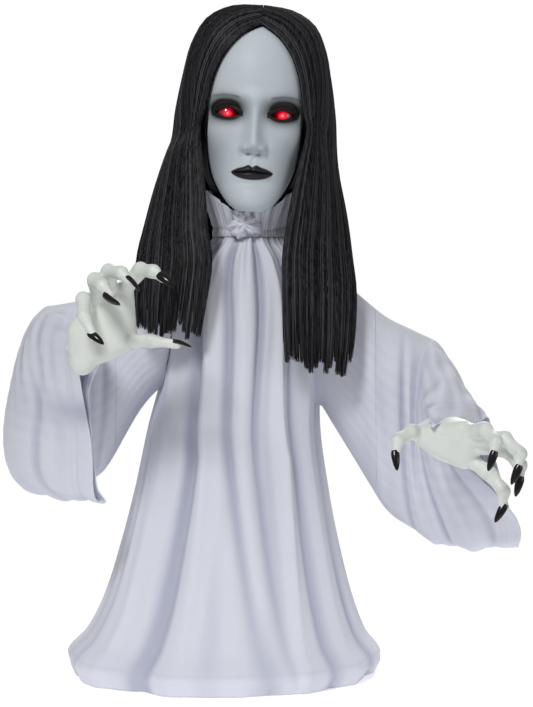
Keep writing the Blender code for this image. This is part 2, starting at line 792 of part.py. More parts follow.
def make_drive():
    plate_top = GEAR_PLATE_LEVEL + GEAR_PLATE_THICKNESS
    plate_half = chest_half_width(plate_top) - CHEST_WALL - FIT
    plate_depth = CHEST_DEPTH / 2 - CHEST_WALL - FIT
    pinion_x = GEAR_CENTRES * cos(PINION_BEARING)
    pinion_y = GEAR_CENTRES * sin(PINION_BEARING)
    bush_outer = NECK_TUBE_RADIUS + FIT + BUSH_WALL
    plate = block(
        "gear_plate",
        (-plate_half, -plate_depth, GEAR_PLATE_LEVEL),
        (plate_half, plate_depth, plate_top),
        grey_plastic,
    )
    corner = plate.modifiers.new("corner", "BEVEL")
    corner.width = CHEST_ROUND * 1.1
    corner.segments = 3
    corner.limit_method = "WEIGHT"
    weights = plate.data.attributes.new("bevel_weight_edge", "FLOAT", "EDGE")
    for edge in plate.data.edges:
        ends = [plate.data.vertices[i].co for i in edge.vertices]
        if abs(ends[0].z - ends[1].z) > GEAR_PLATE_THICKNESS / 2:
            weights.data[edge.index].value = 1.0
    cut(
        plate,
        cylinder(
            "plate_bush_hole",
            (0, 0, GEAR_PLATE_LEVEL - OVERRUN),
            (0, 0, plate_top + OVERRUN),
            bush_outer + FIT,
        ),
        cylinder(
            "plate_shaft_hole",
            (pinion_x, pinion_y, GEAR_PLATE_LEVEL - OVERRUN),
            (pinion_x, pinion_y, plate_top + OVERRUN),
            PINION_SHAFT_RADIUS + 2 * FIT,
            sides=12,
        ),
    )

    lower_seat = plate_top + FIT
    turned(
        "neck_lower_bush",
        [
            (NECK_TUBE_RADIUS + FIT, lower_seat + BUSH_FLANGE_HEIGHT),
            (bush_outer + BUSH_FLANGE, lower_seat + BUSH_FLANGE_HEIGHT),
            (bush_outer + BUSH_FLANGE, lower_seat),
            (bush_outer, lower_seat),
            (bush_outer, GEAR_PLATE_LEVEL),
            (NECK_TUBE_RADIUS + FIT, GEAR_PLATE_LEVEL),
        ],
        white_plastic,
        ring=True,
        steps=16,
    )
    upper_seat = CHEST_TOP + FIT
    turned(
        "neck_upper_bush",
        [
            (NECK_TUBE_RADIUS + FIT, upper_seat + BUSH_FLANGE_HEIGHT),
            (bush_outer + BUSH_FLANGE, upper_seat + BUSH_FLANGE_HEIGHT),
            (bush_outer + BUSH_FLANGE, upper_seat),
            (bush_outer, upper_seat),
            (bush_outer, CHEST_TOP - CHEST_WALL),
            (NECK_TUBE_RADIUS + FIT, CHEST_TOP - CHEST_WALL),
        ],
        white_plastic,
        ring=True,
        steps=16,
    )
    neck_place = Matrix.Translation((0, 0, GEAR_BASE + GEAR_THICKNESS / 2))
    neck_gear = gear(
        "neck_gear", NECK_TEETH, NECK_TUBE_RADIUS + FIT, GEAR_THICKNESS, white_plastic, neck_place,
        PINION_BEARING,
    )
    shoulder = upper_seat + BUSH_FLANGE_HEIGHT + FIT
    tube_bottom = GEAR_PLATE_LEVEL - BUSH_FLANGE_HEIGHT
    tube_top = CHIN_HEIGHT + SOCKET_CUP_HEIGHT + SOCKET_CUP_WALL
    bore = NECK_TUBE_RADIUS - NECK_TUBE_WALL
    neck_tube = turned(
        "neck_tube",
        [
            (bore, tube_top),
            (NECK_TUBE_RADIUS, tube_top),
            (NECK_TUBE_RADIUS, shoulder + NECK_SHOULDER),
            (NECK_TUBE_RADIUS + NECK_SHOULDER, shoulder + NECK_SHOULDER),
            (NECK_TUBE_RADIUS + NECK_SHOULDER, shoulder),
            (NECK_TUBE_RADIUS, shoulder),
            (NECK_TUBE_RADIUS, tube_bottom),
            (bore, tube_bottom),
        ],
        steel_tube,
        ring=True,
        steps=16,
    )
    pinion_place = Matrix.Translation((pinion_x, pinion_y, GEAR_BASE + GEAR_THICKNESS / 2))
    half_tooth = pi / PINION_TEETH
    pinion = gear(
        "drive_pinion",
        PINION_TEETH,
        0.0,
        GEAR_THICKNESS + 2 * PINION_EXTRA,
        white_plastic,
        pinion_place,
        PINION_BEARING + pi + half_tooth,
    )
    shaft_bottom = GEAR_PLATE_LEVEL - GEARBOX_HEIGHT / 3
    join(
        pinion,
        cylinder(
            "pinion_shaft",
            (pinion_x, pinion_y, shaft_bottom),
            (pinion_x, pinion_y, GEAR_BASE + GEAR_THICKNESS + 2 * PINION_EXTRA),
            PINION_SHAFT_RADIUS,
            sides=12,
        ),
    )
    box_top = GEAR_PLATE_LEVEL - FIT
    box_low_y = pinion_y - GEARBOX_DEPTH / 2
    box_low_y = max(box_low_y, SHOULDER_BAR_RADIUS + 2 * FIT)
    gearbox = block(
        "gearbox_housing",
        (pinion_x - GEARBOX_WIDTH / 2, box_low_y, box_top - GEARBOX_HEIGHT),
        (pinion_x + GEARBOX_WIDTH / 2, box_low_y + GEARBOX_DEPTH, box_top),
        grey_plastic,
    )
    edges = gearbox.modifiers.new("edges", "BEVEL")
    edges.width = FORK_RADIUS / 4
    edges.segments = 2
    cut(
        gearbox,
        cylinder(
            "gearbox_shaft_bore",
            (pinion_x, pinion_y, shaft_bottom - FIT),
            (pinion_x, pinion_y, box_top + OVERRUN),
            PINION_SHAFT_RADIUS + FIT,
            sides=12,
        ),
    )
    motor_top = box_top - GEARBOX_HEIGHT - FIT
    motor_y = box_low_y + GEARBOX_DEPTH / 2
    turned(
        "motor_can",
        [
            (0.0, motor_top),
            (MOTOR_RADIUS, motor_top),
            (MOTOR_RADIUS, motor_top - MOTOR_LENGTH),
            (MOTOR_RADIUS / 3, motor_top - MOTOR_LENGTH),
            (MOTOR_RADIUS / 3, motor_top - MOTOR_LENGTH - PIN_HEAD_HEIGHT),
            (0.0, motor_top - MOTOR_LENGTH - PIN_HEAD_HEIGHT),
        ],
        steel_tube,
        place=Matrix.Translation((pinion_x, motor_y, 0)),
        steps=16,
    )
    form_bottom = CHEST_TOP + FIT
    form_top = form_bottom + NECK_FORM_HEIGHT
    hole = NECK_TUBE_RADIUS + NECK_SHOULDER + 2 * FIT
    turned(
        "neck_form",
        [
            (hole, form_top),
            (NECK_FORM_RADIUS - NECK_FORM_WALL, form_top),
            (NECK_FORM_RADIUS, form_top - NECK_FORM_WALL),
            (NECK_FORM_RADIUS, form_bottom),
            (NECK_FORM_RADIUS - NECK_FORM_WALL, form_bottom),
            (NECK_FORM_RADIUS - NECK_FORM_WALL, form_top - 2 * NECK_FORM_WALL),
            (hole, form_top - 2 * NECK_FORM_WALL),
        ],
        painted_face,
        ring=True,
        steps=22,
    )
    carry(axis_marker("pinion_axis", Matrix.Translation((pinion_x, pinion_y, GEAR_BASE))), pinion)
    return neck_gear, neck_tube


# Head: the sections are (height, half width, front, back) in shares of the head's height, width and depth
HEAD_SECTION_SHARES = (
    (0.00, 0.11, -0.440, -0.300),
    (0.03, 0.18, -0.470, -0.200),
    (0.08, 0.25, -0.472, -0.060),
    (0.14, 0.31, -0.462, 0.100),
    (0.20, 0.355, -0.457, 0.220),
    (0.28, 0.40, -0.455, 0.330),
    (0.38, 0.45, -0.460, 0.420),
    (0.48, 0.482, -0.465, 0.475),
    (0.58, 0.50, -0.475, 0.500),
    (0.68, 0.50, -0.470, 0.500),
    (0.78, 0.475, -0.440, 0.480),
    (0.87, 0.41, -0.375, 0.420),
    (0.94, 0.30, -0.265, 0.310),
    (0.985, 0.16, -0.130, 0.170),
    (1.00, 0.06, -0.040, 0.060),
)
FACE_ROW_SHARES = (
    0.0, 0.04, 0.09, 0.14, 0.165, 0.188, 0.212, 0.25, 0.29, 0.32, 0.37,
    0.43, 0.48, 0.53, 0.58, 0.66, 0.76, 0.85, 0.92, 0.97, 1.0,
)
PLAIN_ROW_SHARES = (0.0, 0.06, 0.15, 0.27, 0.41, 0.56, 0.70, 0.82, 0.91, 0.97, 1.0)
CAVITY_ROW_SHARES = (0.13, 0.25, 0.40, 0.56, 0.70, 0.82, 0.90, 0.94)
EYE_HEIGHT_SHARE = 0.48
# Each raised or sunk feature is (across, height, spread across, spread up, rise), across and spread in shares
# of the head's width, heights in shares of its height and the rise in shares of its depth
FACE_FEATURE_SHARES = (
    (0.000, 0.325, 0.072, 0.036, 0.078),
    (0.000, 0.410, 0.050, 0.065, 0.048),
    (0.080, 0.300, 0.045, 0.022, 0.022),
    (0.150, 0.545, 0.120, 0.030, 0.016),
    (0.232, 0.480, 0.110, 0.045, -0.050),
    (0.300, 0.370, 0.110, 0.060, 0.018),
    (0.000, 0.212, 0.110, 0.018, 0.022),
    (0.000, 0.165, 0.100, 0.018, 0.024),
    (0.000, 0.190, 0.120, 0.008, -0.012),
    (0.000, 0.120, 0.110, 0.020, -0.016),
    (0.000, 0.060, 0.110, 0.040, 0.022),
)


def face_rise(x, share):
    rise = 0.0
    for across, height, spread_x, spread_z, amount in FACE_FEATURE_SHARES:
        dz = (share - height) / spread_z
        centres = (across,) if across == 0.0 else (-across, across)
        for centre in centres:
            dx = (x / HEAD_WIDTH - centre) / spread_x
            rise += amount * exp(-(dx * dx + dz * dz) / 2)
    return rise * HEAD_DEPTH


def head_point(azimuth, share, grow=0.0, featured=False):
    """A point on the head: azimuth 0 is the face's middle and a quarter turn is the +X side."""
    half_width, front, back = bent_through(HEAD_SECTION_SHARES, share)
    half_width = half_width * HEAD_WIDTH + grow
    front = front * HEAD_DEPTH - grow
    back = back * HEAD_DEPTH + grow
    x = half_width * sin(azimuth)
    y = (front + back) / 2 - (back - front) / 2 * cos(azimuth)
    middle = HEAD_HEIGHT / 2
    z = CHIN_HEIGHT + middle + (share * HEAD_HEIGHT - middle) * (1 + grow / middle)
    if featured:
        fade_start_share, fade_span_share = 0.3, 0.3
        fade = (cos(azimuth) - fade_start_share) / fade_span_share
        y -= face_rise(x, share) * min(1.0, max(0.0, fade))
    return Vector((x, y, z))


def head_form(name, grow, rows, front_steps, back_steps, featured=False):
    azimuths = []
    for i in range(front_steps):
        t = -1 + 2 * i / front_steps
        azimuths.append((asin(t) + pi / 2 * t) / 2 if featured else pi / 2 * t)
    azimuths += [pi / 2 + pi * i / back_steps for i in range(back_steps)]
    rings = [[head_point(angle, share, grow, featured) for angle in azimuths] for share in rows]
    return loft(name, rings, capped=True)


def eye_place(side):
    share = EYE_HEIGHT_SHARE
    x = side * EYE_SPACING / 2
    half_width = bent_through(HEAD_SECTION_SHARES, share)[0] * HEAD_WIDTH
    return head_point(asin(x / half_width), share, featured=True)


def make_head(neck_gear, neck_tube):
    tilt = axis_marker(
        "head_tilt",
        Matrix.Translation((0, 0, CHIN_HEIGHT)) @ Matrix.Rotation(HEAD_TILT, 4, "Y"),
    )
    tilted = []
    far = HEAD_HEIGHT
    split = -HEAD_SPLIT
    face = head_form("face_shell", 0.0, FACE_ROW_SHARES, 18, 4, featured=True)
    face.data.materials.append(painted_face)
    skull = head_form("head_back_shell", 0.0, PLAIN_ROW_SHARES, 12, 12)
    skull.data.materials.append(black_plastic)
    front_space = block("face_half", (-far, -far, 0), (far, split - FIT / 2, CHIN_HEIGHT + 2 * far))
    back_space = block("skull_half", (-far, split + FIT / 2, 0), (far, far, CHIN_HEIGHT + 2 * far))
    face_cavity = head_form("face_cavity", -FACE_INSET, CAVITY_ROW_SHARES, 10, 10)
    skull_cavity = head_form("skull_cavity", -SKULL_WALL, CAVITY_ROW_SHARES, 12, 12)
    combine(face, front_space, "INTERSECT")
    combine(skull, back_space, "INTERSECT")
    cut(face, face_cavity)
    cut(skull, skull_cavity)
    tilted += [face, skull, front_space, back_space, face_cavity, skull_cavity]

    neck_room = NECK_TUBE_RADIUS + SOCKET_CUP_WALL + 2 * NECK_SHOULDER
    neck_bore = cylinder(
        "skull_neck_bore",
        (0, 0, CHIN_HEIGHT - far),
        (0, 0, CHIN_HEIGHT + HEAD_HEIGHT / 5),
        neck_room,
        sides=18,
    )
    cut(skull, neck_bore)
    cut(face, neck_bore)
    tilted.append(neck_bore)

    tilted += make_eyes(face)

    cup_low = CHIN_HEIGHT + SOCKET_CUP_WALL
    cup_outer = NECK_TUBE_RADIUS + FIT + SOCKET_CUP_WALL
    cup_top = CHIN_HEIGHT + SOCKET_CUP_HEIGHT + 2 * SOCKET_CUP_WALL + FIT
    cup_ceiling = cup_top - SOCKET_CUP_WALL + FIT
    cup = turned(
        "head_socket",
        [
            (0.0, cup_top + SOCKET_CUP_WALL),
            (cup_outer, cup_top + SOCKET_CUP_WALL),
            (cup_outer, cup_low),
            (0.0, cup_low),
        ],
        grey_plastic,
        steps=16,
    )
    bar_z = cup_top - SOCKET_BAR_HEIGHT / 2
    half_width, front, back = bent_through(HEAD_SECTION_SHARES, (bar_z - CHIN_HEIGHT) / HEAD_HEIGHT)
    middle = (front + back) / 2 * HEAD_DEPTH
    half_depth = (back - front) / 2 * HEAD_DEPTH - SKULL_WALL
    bar_y = SOCKET_BAR_DEPTH / 2
    corner = sqrt(1 - ((abs(bar_y) + abs(middle)) / half_depth) ** 2)
    wall_reach = half_width * HEAD_WIDTH * corner - SKULL_WALL / 2
    bar_half = wall_reach - SOCKET_LUG_LENGTH
    for side in (-1, 1):
        near, away = sorted((side * (bar_half + FIT), side * wall_reach))
        lug = block(
            f"skull_lug_{side}",
            (near, -bar_y * WEB_SHARE, bar_z - SOCKET_BAR_HEIGHT / 2),
            (away, bar_y * WEB_SHARE, bar_z + SOCKET_BAR_HEIGHT / 2),
        )
        join(skull, lug)
        tilted.append(lug)
    bar = block(
        "head_socket_bar",
        (-bar_half, -bar_y, bar_z - SOCKET_BAR_HEIGHT / 2),
        (bar_half, bar_y, bar_z + SOCKET_BAR_HEIGHT / 2),
    )
    join(cup, bar)
    cut(
        cup,
        cylinder(
            "head_socket_bore",
            (0, 0, cup_low - OVERRUN),
            (0, 0, cup_ceiling),
            NECK_TUBE_RADIUS + FIT,
        ),
        cylinder(
            "head_socket_wire_bore",
            (0, 0, cup_low),
            (0, 0, cup_top + SOCKET_BAR_HEIGHT + OVERRUN),
            NECK_TUBE_RADIUS - NECK_TUBE_WALL,
            sides=12,
        ),
    )
    tilted.append(bar)

    wig = head_form("wig_cap", WIG_GAP + WIG_THICKNESS, PLAIN_ROW_SHARES, 12, 12)
    wig.data.materials.append(hair_fibre)
    scalp = head_form("wig_inside", WIG_GAP, PLAIN_ROW_SHARES, 12, 12)
    hairline_top_share, hairline_low_share = 0.93, 0.30
    hairline_top_reach_share, hairline_low_reach_share = 0.37, 0.12
    top = Vector((0, -hairline_top_reach_share * HEAD_DEPTH, CHIN_HEIGHT + hairline_top_share * HEAD_HEIGHT))
    low = Vector((0, -hairline_low_reach_share * HEAD_DEPTH, CHIN_HEIGHT + hairline_low_share * HEAD_HEIGHT))
    slope = atan2(top.y - low.y, top.z - low.z)
    behind = block(
        "wig_part",
        (-far, 0, 0),
        (far, far, far),
        place=Matrix.Translation(low) @ Matrix.Rotation(-slope, 4, "X"),
    )
    cut(wig, scalp)
    combine(wig, behind, "INTERSECT")
    tilted += [wig, scalp, behind]
    tilted += make_hair()
    turn = axis_marker("head_turn_axis", Matrix.Translation((0, 0, CHIN_HEIGHT)))
    for piece in tilted:
        piece.parent = tilt
        piece.matrix_parent_inverse = Matrix.Translation((0, 0, -CHIN_HEIGHT))
    bpy.context.view_layer.update()
    carry(turn, tilt, cup, neck_gear, neck_tube)


def make_eyes(face):
    """Red lenses in almond openings, each lit by a diode on one small board behind the nose bridge."""
    made = []
    lens_backs = []
    for side, word in ((-1, "right"), (1, "left")):
        surface = eye_place(side)
        centre = surface + Vector((0, LENS_SETBACK + LENS_RADIUS, 0))
        outline = []
        outline_count = 12
        for i in range(outline_count):
            angle = 2 * pi * i / outline_count
            outline.append(
                Vector((
                    surface.x + EYE_LENGTH / 2 * cos(angle),
                    0.0,
                    surface.z + EYE_OPENING / 2 * sin(angle) * abs(sin(angle)) ** 0.3,
                ))
            )
        near = surface.y - LENS_RADIUS
        far = surface.y + LENS_RADIUS
        ends = [[point + Vector((0, depth, 0)) for point in outline] for depth in (far, near)]
        opening = loft(f"eye_opening_{word}", ends, capped=True)
        arc_steps = 4
        arc = [pi / 2 * i / arc_steps for i in range(arc_steps + 1)]
        seat_radius = LENS_RADIUS + 2 * FIT
        seat_depth = FACE_INSET + LENS_RADIUS
        facing = Matrix.Translation(centre) @ Matrix.Rotation(pi / 2, 4, "X")
        seat = turned(
            f"eye_seat_{word}",
            [(seat_radius * sin(angle), seat_radius * cos(angle)) for angle in arc]
            + [(seat_radius, -seat_depth), (0.0, -seat_depth)],
            place=facing,
            steps=16,
        )
        cut(face, seat, opening)
        inner = LENS_RADIUS - LENS_WALL
        profile = [(LENS_RADIUS * sin(angle), LENS_RADIUS * cos(angle)) for angle in arc]
        profile += [(LENS_RADIUS, -LENS_RIM_DEPTH), (inner, -LENS_RIM_DEPTH)]
        profile += [(inner * sin(angle), inner * cos(angle)) for angle in reversed(arc)]
        lens = turned(
            f"eye_lens_{word}",
            profile,
            red_lens,
            place=facing,
            steps=16,
        )
        made += [opening, seat, lens]
        lens_backs.append(centre.y + LENS_RIM_DEPTH)
    board_front = max(lens_backs) + FIT
    height = CHIN_HEIGHT + EYE_HEIGHT_SHARE * HEAD_HEIGHT
    board_half = EYE_SPACING / 2 + LENS_RADIUS * 0.7
    board = block(
        "led_board",
        (-board_half, board_front, height - LED_BOARD_HEIGHT / 2),
        (board_half, board_front + LED_BOARD_THICKNESS, height + LED_BOARD_HEIGHT / 2),
        circuit_green,
    )
    made.append(board)
    for side, word in ((-1, "right"), (1, "left")):
        straight = LED_LENGTH - LED_RADIUS
        led = turned(
            f"eye_led_{word}",
            [
                (0.0, LED_LENGTH),
                (LED_RADIUS * 0.7, LED_LENGTH - LED_RADIUS * 0.3),
                (LED_RADIUS, straight),
                (LED_RADIUS, LED_RADIUS / 2),
                (LED_RADIUS * 1.2, LED_RADIUS / 2),
                (LED_RADIUS * 1.2, 0.0),
                (0.0, 0.0),
            ],
            red_lens,
            place=Matrix.Translation((side * EYE_SPACING / 2, board_front - FIT, height))
            @ Matrix.Rotation(pi / 2, 4, "X"),
            steps=12,
        )
        made.append(led)
    bridge = head_point(0.0, EYE_HEIGHT_SHARE)
    post = cylinder(
        "led_post",
        (0, bridge.y + FACE_INSET / 2, height),
        (0, board_front - FIT, height),
        LED_POST_RADIUS,
        sides=12,
    )
    join(face, post)
    made.append(post)
    return made


# Hair: hanging sheets of fibre. Each row of a fall is (height, inner x, inner y, outer x, outer y) in shares
# of the hair's length, the height below the crown and the rest from the neck axis
FRONT_FALL_SHARES = (
    (0.42, 0.128, -0.143, 0.210, 0.036),
    (0.53, 0.114, -0.168, 0.236, 0.009),
    (0.64, 0.102, -0.190, 0.262, -0.045),
    (0.73, 0.100, -0.208, 0.276, -0.140),
    (0.85, 0.104, -0.217, 0.277, -0.182),
    (0.96, 0.113, -0.222, 0.266, -0.200),
)
BACK_FALL_SHARES = (
    (0.42, 0.205, 0.212, 0.76),
    (0.53, 0.222, 0.214, 0.70),
    (0.64, 0.240, 0.216, 0.61),
    (0.80, 0.246, 0.224, 0.54),
    (0.93, 0.250, 0.230, 0.52),
)


def hair_wave(i, share):
    return HAIR_THICKNESS * 0.35 * cos(2.1 * i + 3.0 * share)


def make_hair():
    grow = WIG_GAP + WIG_THICKNESS + HAIR_THICKNESS + HAIR_GAP
    crown = CHIN_HEIGHT + HEAD_HEIGHT
    head_rows = PLAIN_ROW_SHARES[4:-1]
    columns = 7
    front_start, front_spread = radians(45.0), radians(52.5)
    made = []
    for side, word, end_share in ((-1, "right", 0.92), (1, "left", 1.0)):
        rings = []
        for height, inner_x, inner_y, outer_x, outer_y in reversed(FRONT_FALL_SHARES):
            ring = []
            for i in range(columns + 1):
                t = i / columns
                bow = sin(pi * t)
                x = (inner_x + (outer_x - inner_x) * t + 0.015 * bow) * HAIR_LENGTH
                y = (inner_y + (outer_y - inner_y) * t**1.5 - 0.012 * bow) * HAIR_LENGTH
                ragged = 0.03 * cos(4.3 * i) * height**4 if height > 0.9 else 0.0
                z = crown - (height * end_share + ragged) * HAIR_LENGTH
                out = Vector((x, y, 0)).normalized() * hair_wave(i, height)
                ring.append(Vector((side * (x + out.x), y + out.y, z)))
            rings.append(ring)
        for share in head_rows:
            ring = []
            for i in range(columns + 1):
                azimuth = front_start + front_spread * i / columns
                point = head_point(azimuth, share, grow)
                ring.append(Vector((side * point.x, point.y, point.z)))
            rings.append(ring)
        if side < 0:
            rings = [list(reversed(ring)) for ring in rings]
        made.append(loft(f"hair_{word}", rings, hair_fibre, closed=False, thickness=HAIR_THICKNESS))
    rings = []
    back_columns = 10
    head_spread = radians(75.0)
    for height, half_width, depth, spread in reversed(BACK_FALL_SHARES):
        ring = []
        for i in range(back_columns + 1):
            azimuth = pi + pi / 2 * spread * (2 * i / back_columns - 1)
            ragged = 0.02 * cos(3.7 * i) if height > 0.9 else 0.0
            wave = hair_wave(i, height)
            ring.append(
                Vector((
                    (half_width * HAIR_LENGTH + wave) * sin(azimuth),
                    (depth * HAIR_LENGTH + wave) * -cos(azimuth),
                    crown - (height + ragged) * HAIR_LENGTH,
                ))
            )
        rings.append(ring)
    for share in head_rows:
        rings.append(
            [
                head_point(pi + head_spread * (2 * i / back_columns - 1), share, grow)
                for i in range(back_columns + 1)
            ]
        )
    made.append(loft("hair_back", rings, hair_fibre, closed=False, thickness=HAIR_THICKNESS))
    return made


# Arms: clevis joints with pins, and hands that swivel on the forearms' pegs
def link_frame(origin, along, hinge):
    x = along.normalized()
    y = hinge.normalized()
    z = x.cross(y)
    return Matrix.Translation(origin) @ Matrix((x, y, z)).transposed().to_4x4()


def fork_parts(name, place):
    """Root block and rounded end of a clevis whose pin runs along the frame's Y and whose root is at -X."""
    half = FORK_WIDTH / 2
    web_half = half * WEB_SHARE
    web_rise = FORK_RADIUS * WEB_SHARE
    root = block(f"{name}_root", (-FORK_ROOT, -web_half, -web_rise), (0, web_half, web_rise), place=place)
    nose = cylinder(
        f"{name}_nose",
        place @ Vector((0, -half, 0)),
        place @ Vector((0, half, 0)),
        FORK_RADIUS,
    )
    return root, nose


def fork_cuts(name, place):
    half = FORK_WIDTH / 2
    gap = TONGUE_WIDTH / 2 + FIT
    slot_end = FORK_RADIUS + 2 * FIT
    slot = block(
        f"{name}_slot",
        (-slot_end, -gap, -FORK_RADIUS - OVERRUN),
        (FORK_RADIUS + OVERRUN, gap, FORK_RADIUS + OVERRUN),
        place=place,
    )
    bore = cylinder(
        f"{name}_bore",
        place @ Vector((0, -half - OVERRUN, 0)),
        place @ Vector((0, half + OVERRUN, 0)),
        PIN_RADIUS + FIT,
        sides=12,
    )
    return slot, bore


def tongue_parts(name, place):
    half = TONGUE_WIDTH / 2
    eye = cylinder(
        f"{name}_eye",
        place @ Vector((0, -half, 0)),
        place @ Vector((0, half, 0)),
        FORK_RADIUS,
    )
    web_half = half * WEB_SHARE
    neck = block(
        f"{name}_neck",
        (0, -web_half, -TONGUE_HEIGHT / 2),
        (TONGUE_REACH + ARM_RADIUS, web_half, TONGUE_HEIGHT / 2),
        place=place,
    )
    return eye, neck


def hinge_pin(name, place):
    half = FORK_WIDTH / 2 + FIT
    tail_share = 0.6
    return turned(
        name,
        [
            (0.0, half + PIN_HEAD_HEIGHT),
            (PIN_HEAD_RADIUS * tail_share, half + PIN_HEAD_HEIGHT),
            (PIN_HEAD_RADIUS, half + PIN_HEAD_HEIGHT * (1 - tail_share)),
            (PIN_HEAD_RADIUS, half),
            (PIN_RADIUS, half),
            (PIN_RADIUS, -half - PIN_HEAD_HEIGHT * tail_share),
            (PIN_RADIUS * tail_share, -half - PIN_HEAD_HEIGHT),
            (0.0, -half - PIN_HEAD_HEIGHT),
        ],
        steel_tube,
        place=place @ Matrix.Rotation(-pi / 2, 4, "X"),
        steps=10,
    )


def pin_bore(name, place):
    half = TONGUE_WIDTH / 2
    return cylinder(
        name,
        place @ Vector((0, -half - OVERRUN, 0)),
        place @ Vector((0, half + OVERRUN, 0)),
        PIN_RADIUS + FIT,
        sides=12,
    )


# Points of each hand from the wrist, in shares of the hand's length; radii in the same shares
RIGHT_HAND_SHARES = {
    "palm": (
        (0.02, -0.13, 0.04), (0.06, -0.15, 0.00), (0.20, -0.17, 0.05), (0.30, -0.21, 0.10),
        (0.28, -0.20, 0.30), (0.28, -0.19, 0.38), (0.10, -0.18, 0.27), (0.02, -0.15, 0.15),
    ),
    "thumb": ((0.21, -0.17, 0.07), (0.33, -0.25, 0.10), (0.45, -0.31, 0.10), (0.60, -0.34, 0.08)),
    "index": ((0.28, -0.19, 0.38), (0.39, -0.34, 0.51), (0.47, -0.47, 0.50), (0.53, -0.54, 0.46)),
    "middle": ((0.21, -0.20, 0.38), (0.21, -0.36, 0.50), (0.29, -0.51, 0.49), (0.34, -0.56, 0.44)),
    "ring": ((0.14, -0.20, 0.34), (0.13, -0.36, 0.45), (0.18, -0.49, 0.42), (0.23, -0.56, 0.36)),
    "little": ((0.08, -0.18, 0.27), (0.06, -0.32, 0.34), (0.07, -0.44, 0.25), (0.13, -0.49, 0.13)),
}
LEFT_HAND_SHARES = {
    "palm": (
        (-0.04, -0.15, -0.10), (0.06, -0.15, -0.10), (-0.06, -0.20, -0.16), (-0.12, -0.24, -0.14),
        (0.11, -0.40, -0.11), (0.14, -0.40, -0.15), (0.15, -0.36, -0.21), (0.12, -0.31, -0.27),
        (0.00, -0.20, -0.23),
    ),
    "thumb": ((-0.09, -0.20, -0.13), (-0.19, -0.31, -0.12), (-0.27, -0.39, -0.16), (-0.29, -0.44, -0.25)),
    "index": ((0.12, -0.41, -0.11), (0.21, -0.56, -0.09), (0.26, -0.67, -0.15), (0.24, -0.71, -0.23)),
    "middle": ((0.15, -0.40, -0.15), (0.32, -0.56, -0.14), (0.40, -0.65, -0.22), (0.38, -0.69, -0.31)),
    "ring": ((0.16, -0.37, -0.20), (0.34, -0.49, -0.21), (0.41, -0.58, -0.29), (0.40, -0.62, -0.38)),
    "little": ((0.14, -0.32, -0.27), (0.26, -0.41, -0.36), (0.33, -0.46, -0.45), (0.32, -0.485, -0.55)),
}
NAIL_WAY_SHARES = {
    "right": {
        "thumb": (1.0, -0.25, -0.25), "index": (0.75, -0.5, -0.6), "middle": (0.7, -0.5, -0.75),
        "ring": (0.8, -0.5, -0.5), "little": (0.8, -0.5, -0.6),
    },
    "left": {
        "thumb": (0.1, -0.35, -1.0), "index": (-0.35, -0.15, -1.0), "middle": (-0.4, -0.1, -0.9),
        "ring": (-0.25, -0.1, -0.9), "little": (-0.35, -0.1, -0.6),
    },
}
FINGER_RADIUS_SHARES = (0.052, 0.046, 0.041, 0.028)
PALM_RADIUS_SHARE = 0.066


def add_rounded_bone(shape, start, end, start_radius, end_radius):
    """Hull of two balls: one bone of a finger with its flesh."""
    bone = bmesh.new()
    for centre, radius in ((start, start_radius), (end, end_radius)):
        bmesh.ops.create_uvsphere(
            bone, u_segments=10, v_segments=6, radius=radius, matrix=Matrix.Translation(centre)
        )
    close_hull(bone)
    merge_into(shape, bone)


def close_hull(shape):
    hull = bmesh.ops.convex_hull(shape, input=shape.verts[:])
    spare = set(hull["geom_interior"]) | set(hull["geom_unused"])
    inner = [item for item in spare if isinstance(item, bmesh.types.BMVert)]
    bmesh.ops.delete(shape, geom=inner, context="VERTS")


def merge_into(shape, addition):
    mesh = take_mesh(addition, "addition")
    shape.from_mesh(mesh)
    bpy.data.meshes.remove(mesh)


